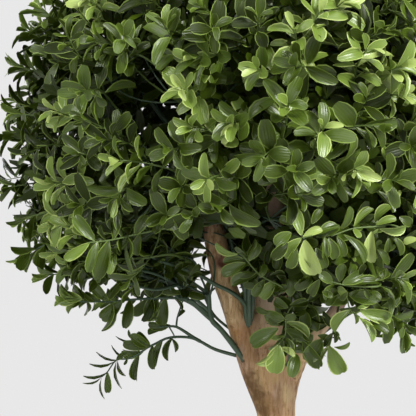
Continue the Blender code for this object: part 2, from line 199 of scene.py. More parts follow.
@dataclass(frozen=True)
class MouldedLeaf:
    """Injection-moulded polyethylene leaf: a soft satin gloss and fine veins pressed along it."""

    name: str
    colour: str
    roughness: float = 0.34
    gloss: float = 0.5
    veins: bool = True
    vein_scale: float = 2.0
    vein_depth: float = 0.27 * MM

    def build(self) -> bpy.types.Material:
        """Make the material: a plain colour, with the veins as relief across the leaf's own map.

        Returns:
            The material.
        """
        mat, shader = shader_of(self.name)
        tree = mat.node_tree
        shader.inputs["Base Color"].default_value = linear(self.colour)
        shader.inputs["Roughness"].default_value = self.roughness
        shader.inputs["IOR"].default_value = 1.5
        shader.inputs["Specular IOR Level"].default_value = self.gloss
        if self.veins:
            # Pressed veins run lengthwise. They are drawn about 1.5 mm apart, coarse enough to show.
            place = add_node(tree, "ShaderNodeUVMap", uv_map=LEAF_MAP)
            stripes = add_node(
                tree,
                "ShaderNodeTexWave",
                {"Vector": place.outputs["UV"], "Scale": self.vein_scale, "Distortion": 1.2, "Detail": 2.0},
            )
            emboss(tree, shader, stripes.outputs["Fac"], 0.42, self.vein_depth)
        return mat


@dataclass(frozen=True)
class MouldedStem:
    """Moulded polyethylene stem: smooth, a little duller than the leaves."""

    name: str
    colour: str
    roughness: float = 0.48

    def build(self) -> bpy.types.Material:
        """Make the material, a plain colour.

        Returns:
            The material.
        """
        mat, shader = shader_of(self.name)
        shader.inputs["Base Color"].default_value = linear(self.colour)
        shader.inputs["Roughness"].default_value = self.roughness
        shader.inputs["IOR"].default_value = 1.5
        return mat


@dataclass(frozen=True)
class StrippedPole:
    """Natural hardwood pole with its bark peeled: satin, streaked lengthwise, greyer on the leader."""

    name: str = "stripped_hardwood_pole"
    streak_width: float = 2.4 * MM
    blotch_width: float = 30.0 * MM
    fibre_width: float = 1.2 * MM
    fibre_depth: float = 0.5 * MM
    fleck_width: float = 3.6 * MM
    ripple_width: float = 9.0 * MM
    ripple_push: tuple = (0.018, 0.018, 0.030)
    grey_across: tuple = (-0.014, 0.004)
    grey_above: tuple = (1.062, 1.100)

    def build(self) -> bpy.types.Material:
        """Make the material: streaks, blotches, a knot, a greyer leader, flecks, patches with painted shade
        and highlights, painted shade in the holes, and fine fibre relief.

        Returns:
            The material.
        """
        mat, shader = shader_of(self.name)
        tree = mat.node_tree
        place = add_node(tree, "ShaderNodeTexCoord").outputs["Object"]
        stretched = add_node(tree, "ShaderNodeMapping", {"Vector": place, "Scale": (1.0, 1.0, 0.20)})
        along = stretched.outputs["Vector"]
        streaks = noise_node(tree, along, self.streak_width, 5.0, Roughness=0.6, Distortion=0.4)
        streaks = streaks.outputs["Fac"]
        wood = add_node(tree, "ShaderNodeValToRGB", {"Fac": streaks})
        set_ramp(wood, ((0.30, "8E7A62"), (0.41, "CDBEA8"), (0.54, "F4EDE2"), (0.66, "FFFFFF")))
        wider = add_node(tree, "ShaderNodeMapping", {"Vector": place, "Scale": (1.3, 1.3, 0.32)})
        blotches = noise_node(tree, wider.outputs["Vector"], self.blotch_width, 4.0).outputs["Fac"]
        shade = add_node(tree, "ShaderNodeValToRGB", {"Fac": blotches})
        browns = ((0.32, "7A5428"), (0.42, "A2733A"), (0.50, "BC9455"), (0.60, "CCAA6F"), (0.70, "BE9C64"))
        set_ramp(shade, browns)
        coloured = blended(tree, 0.85, wood.outputs["Color"], shade.outputs["Color"], blend_type="MULTIPLY")
        coloured = self.greyer_leader(tree, place, coloured, blotches)
        coloured = self.flecks(tree, place, coloured)
        shaken = self.shaken(tree, place)
        # Painted shade along the pole's left edge and painted highlights in its middle and on its right,
        # among brown patches of the wood
        for stain_and_light in STAINS_AND_PAINTED_LIGHT:
            coloured = stain_and_light.blend(tree, shaken, coloured)
        coloured = StainAndPaintedLight(KNOT_PLACE, 3.4, 8.6, "55281A").blend(tree, place, coloured)
        # A near-black disc in each hole: painted shade of its depth
        for hole in HOLES:
            coloured = StainAndPaintedLight(hole, 2.6, 3.6, "15120E").blend(tree, place, coloured)
        tree.links.new(coloured, shader.inputs["Base Color"])
        shader.inputs["Specular IOR Level"].default_value = 0.3
        fibre = noise_node(tree, along, self.fibre_width, 3.0).outputs["Fac"]
        rough = fitted(tree, streaks, new=(0.46, 0.66))
        tree.links.new(rough, shader.inputs["Roughness"])
        emboss(tree, shader, fibre, 0.5, self.fibre_depth)
        return mat

    def greyer_leader(self, tree: Tree, place: Socket, colour: Socket, blotches: Socket) -> Socket:
        """Blend to mauve grey wood on the leader, to the right of the fork and above it.

        Args:
            tree: Node tree of the material.
            place: Object coordinates.
            colour: Colour socket so far.
            blotches: Noise socket that breaks up the blend's edge.

        Returns:
            The blended colour socket.
        """
        axes = add_node(tree, "ShaderNodeSeparateXYZ", {"Vector": place})
        right = fitted(tree, axes.outputs["X"], self.grey_across)
        above = fitted(tree, axes.outputs["Z"], self.grey_above)
        both = add_node(tree, "ShaderNodeMath", {0: right, 1: above}, operation="MULTIPLY").outputs["Value"]
        broken = fitted(tree, blotches, (0.35, 0.60), (0.55, 0.95))
        share = add_node(tree, "ShaderNodeMath", {0: both, 1: broken}, operation="MULTIPLY")
        return blended(tree, share.outputs["Value"], colour, linear("B09A84"))

    def flecks(self, tree: Tree, place: Socket, colour: Socket) -> Socket:
        """Darken small flecks, 1 to 3 mm across, where twigs and rings met the surface.

        Args:
            tree: Node tree of the material.
            place: Object coordinates.
            colour: Colour socket so far.

        Returns:
            The blended colour socket.
        """
        spots = noise_node(tree, place, self.fleck_width, 2.0, Roughness=0.5).outputs["Fac"]
        share = fitted(tree, spots, (0.66, 0.74), (0.0, 0.80))
        return blended(tree, share, colour, linear("5E4530"))

    def shaken(self, tree: Tree, place: Socket) -> Socket:
        """Object coordinates pushed about by noise, which breaks up the edges of the patches of painted
        shade, painted highlight and brown stain.

        Args:
            tree: Node tree of the material.
            place: Object coordinates.

        Returns:
            The socket of the new coordinates.
        """
        ripple = noise_node(tree, place, self.ripple_width, 3.0).outputs["Color"]
        push = add_node(tree, "ShaderNodeVectorMath", {0: ripple, 1: (0.5, 0.5, 0.5)}, operation="SUBTRACT")
        moved = add_node(
            tree,
            "ShaderNodeVectorMath",
            {0: push.outputs["Vector"], 1: self.ripple_push, 2: place},
            operation="MULTIPLY_ADD",
        )
        return moved.outputs["Vector"]


@dataclass(frozen=True)
class StainAndPaintedLight:
    """A round mark on the pole's wood, used for its stains and knot and for painted shade and highlights. It
    is full up to its core and has faded at its edge, in millimetres.
    """

    centre: tuple
    core: float
    edge: float
    colour: str
    share: float = 0.9

    def blend(self, tree: Tree, place: Socket, colour: Socket) -> Socket:
        """Blend the mark over the wood.

        Args:
            tree: Node tree of the material.
            place: Coordinates to measure from its centre in.
            colour: Colour socket so far.

        Returns:
            The blended colour socket.
        """
        away = add_node(tree, "ShaderNodeVectorMath", {0: place, 1: self.centre}, operation="DISTANCE")
        limits = (self.core * MM, self.edge * MM)
        share = fitted(tree, away.outputs["Value"], limits, (self.share, 0.0))
        return blended(tree, share, colour, linear(self.colour))


@dataclass(frozen=True)
class MouldedPot:
    """Moulded polypropylene, dull charcoal, with a fine orange-peel skin and dusty scuffs."""

    name: str = "moulded_polypropylene"
    patch_width: float = 45.0 * MM
    skin_width: float = 1.4 * MM
    skin_depth: float = 0.25 * MM

    def build(self) -> bpy.types.Material:
        """Make the material: charcoal with faint dusty patches and a fine skin relief.

        Returns:
            The material.
        """
        mat, shader = shader_of(self.name)
        tree = mat.node_tree
        place = add_node(tree, "ShaderNodeTexCoord").outputs["Object"]
        patches = noise_node(tree, place, self.patch_width, 6.0, Roughness=0.65).outputs["Fac"]
        tone = add_node(tree, "ShaderNodeValToRGB", {"Fac": patches})
        set_ramp(tone, ((0.30, "2B2B2C"), (0.55, "333334"), (0.75, "434240")))
        tree.links.new(tone.outputs["Color"], shader.inputs["Base Color"])
        rough = fitted(tree, patches, new=(0.42, 0.66))
        tree.links.new(rough, shader.inputs["Roughness"])
        skin = noise_node(tree, place, self.skin_width, 2.0).outputs["Fac"]
        emboss(tree, shader, skin, 0.25, self.skin_depth)
        return mat


@dataclass(frozen=True)
class EarthyTop:
    """Dark composted fill: dull, crumbly, with lighter and darker crumbs."""

    name: str = "dark_compost"
    dark: str = "241B14"
    light: str = "4A3828"
    crumb_width: float = 5.0 * MM
    crumb_depth: float = 1.5 * MM

    def build(self) -> bpy.types.Material:
        """Make the material: dark brown crumbs a few millimetres across.

        Returns:
            The material.
        """
        mat, shader = shader_of(self.name)
        tree = mat.node_tree
        place = add_node(tree, "ShaderNodeTexCoord").outputs["Object"]
        crumbs = noise_node(tree, place, self.crumb_width, 6.0, Roughness=0.7).outputs["Fac"]
        tone = add_node(tree, "ShaderNodeValToRGB", {"Fac": crumbs})
        set_ramp(tone, ((0.35, self.dark), (0.70, self.light)))
        tree.links.new(tone.outputs["Color"], shader.inputs["Base Color"])
        shader.inputs["Roughness"].default_value = 0.95
        emboss(tree, shader, crumbs, 0.8, self.crumb_depth)
        return mat


LEAF_MAP = "leaf"
KNOT_PLACE = (-0.0335, -0.0185, 1.1385)
# Patches on the front of the pole. The three dark ones at its left edge are painted shade, and the pale ones
# in its middle and on its right are painted highlights; the rest are brown patches and one small dark mark in
# the wood
STAINS_AND_PAINTED_LIGHT = (
    StainAndPaintedLight((-0.0085, -0.0095, 1.0400), 4.0, 12.0, "5A3E1A", 0.85),
    StainAndPaintedLight((-0.0040, -0.0110, 1.0285), 4.0, 12.0, "5A3E1A", 0.85),
    StainAndPaintedLight((-0.0005, -0.0125, 1.0150), 4.0, 12.0, "5A3E1A", 0.85),
    StainAndPaintedLight((0.0070, -0.0175, 1.0190), 3.0, 13.0, "7F5E33", 0.60),
    StainAndPaintedLight((0.0070, -0.0180, 1.0460), 4.0, 18.0, "BC9A66", 0.55),
    StainAndPaintedLight((0.0220, -0.0120, 1.0280), 2.0, 12.0, "BFA97C", 0.60),
    StainAndPaintedLight((-0.0200, -0.0140, 1.0790), 3.0, 16.0, "A8743F", 0.60),
    StainAndPaintedLight((-0.0080, -0.0180, 1.0640), 3.0, 14.0, "9C7444", 0.50),
    StainAndPaintedLight((-0.0235, -0.0130, 1.0865), 0.5, 3.4, "6A3A22", 0.70),
)
# Holes in the pole: dented into its surface, and painted near-black inside as painted shade
HOLES = ((-0.0150, -0.0120, 1.0575), (0.0205, -0.0195, 1.0550))


class Tone(IntEnum):
    """Leaf and rim colours by material slot. The first five run from the oldest leaves to the freshest; twigs
    inside a ball take darker ones, which is painted shade, and twigs on the right lighter ones, which is
    painted light. The rims are the leaves' pale margins, partly painted glow of light through the thin edge,
    and the last is painted shade for leaves seen edge-on.
    """

    DEEP = 0
    DARK = 1
    MID = 2
    LIGHT = 3
    FRESH = 4
    RIM_OLD = 5
    RIM_FRESH = 6
    # Painted shade: a dull dark olive for leaves that the camera sees edge-on
    EDGE = 7


class Drawn(IntEnum):
    """How finely a leaf is drawn."""

    SMALL = 0
    FINE = 1
    BY_HAND = 2


class StemTone(IntEnum):
    """Stem colours by material slot."""

    DARK = 0
    YOUNG = 1


LEAF_FINISHES = {
    Tone.DEEP: MouldedLeaf("leaf_deep", "263203", 0.42, 0.22),
    Tone.DARK: MouldedLeaf("leaf_dark", "39490A", 0.36, 0.38),
    Tone.MID: MouldedLeaf("leaf_mid", "465916"),
    Tone.LIGHT: MouldedLeaf("leaf_light", "687E30"),
    Tone.FRESH: MouldedLeaf("leaf_fresh", "96A85A"),
    # Pale rims: the leaves' own margins, lightened further as painted glow of light through the thin plastic
    # edge
    Tone.RIM_OLD: MouldedLeaf("rim_old_and_glow", "6F8339", 0.40, 0.4, False),
    Tone.RIM_FRESH: MouldedLeaf("rim_fresh_and_glow", "A4B566", 0.40, 0.4, False),
    # Leaves that the camera sees edge-on take this dull dark olive instead of their own tone: painted shade
    Tone.EDGE: MouldedLeaf("leaf_edge_on_shade", "3C4A1C", 0.45, 0.3, False),
}
# The rim's tone for each tone, in their order. A rim is the leaf's pale margin, partly its own colour and
# partly painted glow of light through the thin edge
RIM_OF = np.array([Tone.RIM_OLD] * 3 + [Tone.RIM_FRESH] * 2 + [Tone.RIM_OLD, Tone.RIM_FRESH, Tone.EDGE])
STEM_FINISHES = {
    StemTone.DARK: MouldedStem("stem_dark", "41553F"),
    StemTone.YOUNG: MouldedStem("stem_young", "55692F"),
}


# ---------------------------------------------------------------------------------- mesh helpers


def deselect_all() -> None:
    """Leave object mode with nothing selected."""
    if bpy.context.object and bpy.context.object.mode != "OBJECT":
        bpy.ops.object.mode_set(mode="OBJECT")
    bpy.ops.object.select_all(action="DESELECT")


def make_active(ob: bpy.types.Object) -> None:
    """Select one object alone and make it active.

    Args:
        ob: The object.
    """
    deselect_all()
    ob.select_set(True)
    bpy.context.view_layer.objects.active = ob


def linked(name: str, data: bpy.types.ID) -> bpy.types.Object:
    """Make an object and link it to the scene.

    Args:
        name: Name of the object.
        data: Its mesh, curve, lamp or camera.

    Returns:
        The new object.
    """
    ob = bpy.data.objects.new(name, data)
    bpy.context.scene.collection.objects.link(ob)
    return ob


def turned(name: str, profile: Sequence[tuple[float, float]], steps: int) -> bpy.types.Object:
    """Spin a profile round the upright axis.

    Args:
        name: Name of the object.
        profile: Radius and height of each point.
        steps: Number of steps in the whole turn.

    Returns:
        The object, active and in object mode.
    """
    mesh = bpy.data.meshes.new(name)
    mesh.from_pydata([(r, 0.0, z) for r, z in profile], [(i, i + 1) for i in range(len(profile) - 1)], [])
    ob = linked(name, mesh)
    make_active(ob)
    bpy.ops.object.mode_set(mode="EDIT")
    bpy.ops.mesh.select_all(action="SELECT")
    bpy.ops.mesh.spin(steps=steps, angle=2.0 * math.pi, center=(0, 0, 0), axis=(0, 0, 1))
    bpy.ops.mesh.select_all(action="SELECT")
    bpy.ops.mesh.remove_doubles(threshold=0.02 * MM)
    bpy.ops.mesh.normals_make_consistent(inside=False)
    bpy.ops.object.mode_set(mode="OBJECT")
    return ob


def apply_modifiers(ob: bpy.types.Object) -> None:
    """Apply all modifiers of an object in order.

    Args:
        ob: The object.
    """
    make_active(ob)
    for modifier in list(ob.modifiers):
        bpy.ops.object.modifier_apply(modifier=modifier.name)


def register(ob: bpy.types.Object, nodes: Sequence[str] = ()) -> None:
    """Hand a finished piece to the frame.

    Args:
        ob: The piece.
        nodes: CAD nodes that the piece stands for.
    """
    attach(ob, BODY)
    if nodes:
        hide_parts(*nodes)
    ob.data.calc_loop_triangles()
    log.info("%s: %d triangles", ob.name, len(ob.data.loop_triangles))


@dataclass
class FaceStore:
    """Vertices and faces of many small shapes, gathered and then made into one mesh."""

    points: list = field(default_factory=list)
    corners: list = field(default_factory=list)
    sizes: list = field(default_factory=list)
    slots: list = field(default_factory=list)
    maps: list = field(default_factory=list)
    count: int = 0

    def add(self, points: np.ndarray, faces: np.ndarray, slots: np.ndarray, maps: np.ndarray | None) -> None:
        """Add many copies of one shape.

        Args:
            points: Copies by vertices by 3.
            faces: Faces by corners, for one copy.
            slots: Copies by faces, the material slot of each face.
            maps: Vertices by 2, the map of one copy, or None.
        """
        copies, verts = points.shape[:2]
        offsets = self.count + np.arange(copies)[:, None, None] * verts
        self.points.append(points.reshape(-1, 3))
        self.corners.append((faces[None] + offsets).reshape(-1))
        self.sizes.append(np.full(copies * len(faces), faces.shape[1]))
        self.slots.append(slots.reshape(-1))
        if maps is not None:
            self.maps.append(np.tile(maps[faces.reshape(-1)], (copies, 1)))
        self.count += copies * verts

    def build(self, name: str, materials: Materials) -> bpy.types.Object:
        """Make the gathered faces one object.

        Args:
            name: Name of the piece.
            materials: Its material slots.

        Returns:
            The new object, with its place in its mesh.
        """
        points = np.concatenate(self.points)
        corners = np.concatenate(self.corners).astype(np.int32)
        sizes = np.concatenate(self.sizes).astype(np.int32)
        mesh = bpy.data.meshes.new(name)
        mesh.vertices.add(len(points))
        mesh.vertices.foreach_set("co", points.astype(np.float32).ravel())
        mesh.loops.add(len(corners))
        mesh.loops.foreach_set("vertex_index", corners)
        mesh.polygons.add(len(sizes))
        mesh.polygons.foreach_set("loop_start", np.concatenate(([0], np.cumsum(sizes)[:-1])).astype(np.int32))
        mesh.polygons.foreach_set("material_index", np.concatenate(self.slots).astype(np.int32))
        if self.maps:
            layer = mesh.uv_layers.new(name=LEAF_MAP)
            layer.data.foreach_set("uv", np.concatenate(self.maps).astype(np.float32).ravel())
        mesh.update(calc_edges=True)
        mesh.polygons.foreach_set("use_smooth", np.ones(len(sizes), dtype=bool))
        for material in materials:
            mesh.materials.append(material)
        return linked(name, mesh)


def noise_at(places: np.ndarray, grain: tuple[float, float, float]) -> np.ndarray:
    """Smooth noise at many points.

    Args:
        places: Points by 3, in metres.
        grain: Size of the lumps along x, y and z, in millimetres.

    Returns:
        A value from about -1 to 1 for each point.
    """
    scaled = places / (np.array(grain) * MM)
    return np.array([noise.noise(point) for point in scaled.tolist()])


def unit(vectors: np.ndarray) -> np.ndarray:
    """Scale vectors to length one."""
    return vectors / np.maximum(np.linalg.norm(vectors, axis=-1, keepdims=True), 1e-12)


def tube(path: np.ndarray, radii: np.ndarray, sides: int) -> tuple[np.ndarray, np.ndarray]:
    """A round stem along a path, pointed at its tip.

    Args:
        path: Points by 3.
        radii: Radius at each point.
        sides: Sides of the stem.

    Returns:
        Vertices and four-cornered faces.
    """
    heads = unit(np.gradient(path, axis=0))
    side = np.cross(heads[0], [0.31, 0.17, 0.93])
    sides_at = []
    for head in heads:
        side = side - head * np.dot(side, head)
        side = side / np.linalg.norm(side)
        sides_at.append(side)
    across = np.array(sides_at)
    over = np.cross(heads, across)
    turn = np.arange(sides) * 2.0 * math.pi / sides
    ring = across[:, None] * np.cos(turn)[None, :, None] + over[:, None] * np.sin(turn)[None, :, None]
    points = (path[:, None] + ring * radii[:, None, None]).reshape(-1, 3)
    base = np.arange(sides)
    ahead = (base + 1) % sides
    rows = np.arange(len(path) - 1)[:, None] * sides
    faces = np.stack([rows + base, rows + ahead, rows + ahead + sides, rows + base + sides], axis=-1)
    return points, faces.reshape(-1, 4)


def bezier(start: np.ndarray, middle: np.ndarray, end: np.ndarray, count: int) -> np.ndarray:
    """Points of a three-point curve.

    Args:
        start: First point.
        middle: The point it bends towards.
        end: Last point.
        count: Number of points.

    Returns:
        Count by 3 points.
    """
    t = np.linspace(0.0, 1.0, count)[:, None]
    return (1 - t) ** 2 * start + 2 * t * (1 - t) * middle + t**2 * end


def smooth_path(points: Sequence[Sequence[float]], step: float) -> np.ndarray:
    """A smooth curve through points, evenly divided.

    Args:
        points: Points that the curve passes through.
        step: Distance between the points returned.

    Returns:
        Points by 3.
    """
    knots = np.array(points, float)
    padded = np.vstack([2 * knots[0] - knots[1], knots, 2 * knots[-1] - knots[-2]])
    out = []
    for a, b, c, d in zip(padded, padded[1:], padded[2:], padded[3:]):
        count = max(2, int(np.linalg.norm(c - b) / step))
        t = np.linspace(0.0, 1.0, count, endpoint=False)[:, None]
        out.append(
            0.5 * (2 * b + (c - a) * t + (2 * a - 5 * b + 4 * c - d) * t**2 + (3 * b - a - 3 * c + d) * t**3)
        )
    out.append(knots[-1:])
    return np.vstack(out)


# ---------------------------------------------------------------------------------- pole and boughs


@dataclass
class Pole:
    """The stripped pole and its fork: tubes run into each other, fused, smoothed and roughened."""

    grain: float = 1.9 * MM
    # Each relief: its grain in millimetres, the offset of its noise and its height in millimetres
    reliefs: tuple = (
        ((24.0, 24.0, 48.0), 0.0, 1.0),
        ((6.5, 6.5, 90.0), 0.0, 0.4),
        ((3.2, 3.2, 15.0), 0.13, 0.25),
    )
    pit_grain: tuple = (5.0, 5.0, 8.0)
    pit_from: float = 0.42
    pit_depth: float = 4.0
    # x, y, z and radius at each station of a limb
    pole: tuple = (
        (0.0000, 0.0000, 0.1985, 0.0275), (0.0000, 0.0000, 0.2070, 0.0262),
        (0.0000, 0.0000, 0.2180, 0.0230), (-0.0010, 0.0005, 0.2500, 0.0206),
        (-0.0040, 0.0020, 0.3400, 0.0193), (-0.0060, 0.0040, 0.4800, 0.0184),
        (0.0000, 0.0030, 0.6600, 0.0175), (0.0090, 0.0000, 0.8400, 0.0167),
        (0.0130, 0.0000, 0.9500, 0.0160), (0.0124, 0.0000, 1.0050, 0.0158),
        (0.0100, 0.0000, 1.0314, 0.0180), (0.0090, 0.0010, 1.0522, 0.0192),
        (0.0090, 0.0030, 1.0650, 0.0160),
    )
    left: tuple = (
        (0.0075, 0.0000, 1.0060, 0.0090), (-0.0010, -0.0030, 1.0300, 0.0100),
        (-0.0095, -0.0060, 1.0525, 0.0098), (-0.0165, -0.0075, 1.0750, 0.0098),
        (-0.0258, -0.0090, 1.1064, 0.0095), (-0.0329, -0.0090, 1.1264, 0.0094),
        (-0.0367, -0.0080, 1.1464, 0.0100), (-0.0408, -0.0050, 1.1664, 0.0086),
        (-0.0520, 0.0040, 1.2050, 0.0070), (-0.0660, 0.0100, 1.2400, 0.0050),
    )
    leader: tuple = (
        (0.0120, 0.0020, 1.0200, 0.0120), (0.0105, 0.0050, 1.0525, 0.0148),
        (0.0090, 0.0060, 1.0780, 0.0152), (0.0080, 0.0060, 1.1030, 0.0150),
        (0.0078, 0.0070, 1.1314, 0.0142), (0.0090, 0.0080, 1.1580, 0.0112),
        (0.0100, 0.0080, 1.1813, 0.0092), (0.0118, 0.0095, 1.2250, 0.0086),
        (0.0140, 0.0110, 1.2650, 0.0072), (0.0165, 0.0125, 1.2990, 0.0048),
    )
    right: tuple = (
        (0.0180, 0.0000, 1.0160, 0.0090), (0.0265, -0.0060, 1.0500, 0.0080),
        (0.0345, -0.0100, 1.0660, 0.0066), (0.0442, -0.0130, 1.0790, 0.0060),
        (0.0620, -0.0180, 1.1030, 0.0052), (0.0800, -0.0220, 1.1350, 0.0040),
    )
    web: tuple = (
        (0.0050, 0.0020, 1.0500, 0.0120), (-0.0030, 0.0000, 1.0700, 0.0105),
        (-0.0085, -0.0010, 1.0860, 0.0080), (-0.0110, -0.0010, 1.0960, 0.0040),
    )
    back: tuple = (
        (0.0060, 0.0090, 1.0950, 0.0060), (-0.0040, 0.0200, 1.1180, 0.0070),
        (-0.0120, 0.0290, 1.1310, 0.0072), (-0.0170, 0.0380, 1.1570, 0.0064),
        (-0.0270, 0.0510, 1.2040, 0.0046),
    )

    def limb(self, name: str, stations: tuple) -> bpy.types.Object:
        """A round tapering limb, from a bezier curve with a radius at each station.

        Args:
            name: Name of the curve.
            stations: x, y, z and radius of each station.

        Returns:
            The limb as a mesh object.
        """
        curve = bpy.data.curves.new(name, "CURVE")
        curve.dimensions = "3D"
        curve.bevel_depth = 1.0
        curve.bevel_resolution = 5
        curve.resolution_u = 8
        curve.use_fill_caps = True
        spline = curve.splines.new("BEZIER")
        spline.bezier_points.add(len(stations) - 1)
        for point, (x, y, z, radius) in zip(spline.bezier_points, stations):
            point.co = (x, y, z)
            point.radius = radius
            point.handle_left_type = "AUTO"
            point.handle_right_type = "AUTO"
        make_active(linked(name, curve))
        bpy.ops.object.convert(target="MESH")
        bpy.ops.object.mode_set(mode="EDIT")
        bpy.ops.mesh.select_all(action="SELECT")
        bpy.ops.mesh.remove_doubles(threshold=0.05 * MM)
        bpy.ops.mesh.normals_make_consistent(inside=False)
        bpy.ops.object.mode_set(mode="OBJECT")
        return bpy.context.object

    def roughen(self, mesh: bpy.types.Mesh) -> None:
        """Move the surface in and out: lumps, long ridges and the scar of a cut shoot.

        Args:
            mesh: The fused pole.
        """
        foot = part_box("trunk")[0].z
        knot = np.array(KNOT_PLACE)
        count = len(mesh.vertices)
        places = np.empty(count * 3, np.float32)
        normals = np.empty(count * 3, np.float32)
        mesh.vertices.foreach_get("co", places)
        mesh.vertex_normals.foreach_get("vector", normals)
        places, normals = places.reshape(-1, 3).astype(float), normals.reshape(-1, 3)
        push = sum(height * noise_at(places + offset, grain) for grain, offset, height in self.reliefs)
        pit = np.clip(noise_at(places + 0.29, self.pit_grain) - self.pit_from, 0.0, 1.0)
        push = (push - self.pit_depth * pit) * MM
        away = np.linalg.norm(places - knot, axis=1)
        push += 1.1 * MM * np.exp(-(((away - 5.0 * MM) / (2.0 * MM)) ** 2))
        push -= 1.2 * MM * np.exp(-((away / (2.6 * MM)) ** 2))
        for hole in HOLES:
            gap = np.linalg.norm(places - np.array(hole), axis=1)
            push -= 3.0 * MM * np.exp(-((gap / (2.8 * MM)) ** 4))
            push += 0.7 * MM * np.exp(-(((gap - 4.2 * MM) / (1.2 * MM)) ** 2))
        fade = np.clip((places[:, 2] - foot - 1.0 * MM) / (6.0 * MM), 0.0, 1.0)
        places += normals * (push * fade)[:, None]
        places[:, 2] = np.maximum(places[:, 2], foot)
        mesh.vertices.foreach_set("co", places.astype(np.float32).ravel())
        mesh.update()

    def build(self) -> bpy.types.Object:
        """Build the fused pole.

        Returns:
            The pole, which stands for the CAD's trunk and boughs.
        """
        parts = {"pole_bark": self.pole, "left": self.left, "leader": self.leader}
        parts.update({"web": self.web, "right": self.right, "back": self.back})
        limbs = [self.limb(name, stations) for name, stations in parts.items()]
        deselect_all()
        for ob in limbs:
            ob.select_set(True)
        bpy.context.view_layer.objects.active = limbs[0]
        bpy.ops.object.join()
        ob = bpy.context.object
        fuse = ob.modifiers.new("fuse", "REMESH")
        fuse.mode = "VOXEL"
        fuse.voxel_size = self.grain
        soften = ob.modifiers.new("soften", "SMOOTH")
        soften.factor = 0.5
        soften.iterations = 5
        apply_modifiers(ob)
        self.roughen(ob.data)
        ob.data.materials.clear()
        ob.data.materials.append(StrippedPole().build())
        make_active(ob)
        bpy.ops.object.shade_smooth()
        names = ("trunk", "bough_left", "bough_leader", "bough_right", "bough_back")
        register(ob, names)
        return ob


# ---------------------------------------------------------------------------------- leaves


@dataclass(frozen=True)
class LeafShape:
    """One leaf of unit length: obovate with a round or slightly notched tip, cupped along its rib."""

    arch: float = 0.18
    cup: float = 0.08
    fold: float = 0.12
    sweep: float = 0.0
    width: float = 0.50
    rim: float = 0.032
    notch: float = 0.030
    stations: tuple = (0.0, 0.15, 0.36, 0.62, 0.84, 0.962)
    half_widths: tuple = (0.10, 0.42, 0.82, 1.0, 0.86, 0.52)
    end_round: float = 0.026

    def build(self) -> tuple[np.ndarray, np.ndarray, np.ndarray, np.ndarray]:
        """Make the leaf.

        Returns:
            Vertices, four-cornered faces, a flag for each face of the rim, and the leaf's map.
        """
        points, maps = [], []
        last = len(self.stations) - 1
        for row, (t, share) in enumerate(zip(self.stations, self.half_widths)):
            half = share * self.width / 2.0
            inner = max(half - self.rim, 0.55 * half)
            for x in (-half, -inner, 0.0, inner, half):
                y = t
                if row == last and abs(x) < half:
                    y += self.end_round * (1.0 if x else 1.4) - (0.0 if x else self.notch)
                cup = self.cup * (2.0 * x / self.width) ** 2 + self.fold * abs(x)
                bow = 0.04 * math.sin(math.pi * y) - self.arch * y * y
                points.append((x + self.sweep * y * y, y, cup + bow))
                maps.append((x / self.width + 0.5, y))
        faces, rims = [], []
        for row in range(last):
            for column in range(4):
                a = row * 5 + column
                faces.append((a, a + 1, a + 6, a + 5))
                rims.append(column in (0, 3))
        return np.array(points), np.array(faces), np.array(rims), np.array(maps)


@dataclass(frozen=True)
class SmallLeafShape:
    """A leaf of eight triangles for the inside of a ball."""

    arch: float = 0.15

    def build(self) -> tuple[np.ndarray, np.ndarray, np.ndarray, np.ndarray]:
        """Make the leaf.

        Returns:
            Vertices, four-cornered faces, a flag for each face of the rim, and the leaf's map.
        """
        rows = ((0.0, 0.05), (0.50, 0.27), (0.97, 0.13))
        points = [(x, y, 0.2 * abs(x) - self.arch * y * y) for y, half in rows for x in (-half, 0.0, half)]
        faces = [(r * 3 + c, r * 3 + c + 1, r * 3 + c + 4, r * 3 + c + 3) for r in (0, 1) for c in (0, 1)]
        maps = [(x + 0.5, y) for x, y, _ in points]
        return np.array(points), np.array(faces), np.zeros(4, bool), np.array(maps)


FINE_SHAPES = (
    LeafShape(),
    LeafShape(arch=0.06, cup=0.12, fold=0.10, width=0.46, sweep=0.05, notch=0.0),
    LeafShape(arch=0.30, cup=0.08, fold=0.12, width=0.52, sweep=-0.05, notch=0.018),
    LeafShape(arch=0.50, cup=0.14, fold=0.24, width=0.43, sweep=0.07, notch=0.0),
    LeafShape(arch=-0.12, cup=0.15, fold=0.16, width=0.45, sweep=-0.06, notch=0.034),
    LeafShape(arch=0.22, cup=-0.05, fold=0.04, width=0.50, sweep=0.03, notch=0.012),
)
SMALL_SHAPES = (SmallLeafShape(), SmallLeafShape(arch=0.05))
# The same six with a rounder outline and a deeper fold, for the listed leaves
HAND_SHAPES = tuple(
    replace(
        shape,
        cup=1.4 * shape.cup,
        fold=shape.fold + 0.24,
        rim=0.028,
        stations=(0.0, 0.10, 0.24, 0.40, 0.58, 0.74, 0.87, 0.95, 0.985),
        half_widths=(0.12, 0.38, 0.67, 0.88, 0.99, 1.0, 0.88, 0.66, 0.40),
        end_round=0.014,
    )
    for shape in FINE_SHAPES
)
SHAPES = {Drawn.SMALL: SMALL_SHAPES, Drawn.FINE: FINE_SHAPES, Drawn.BY_HAND: HAND_SHAPES}


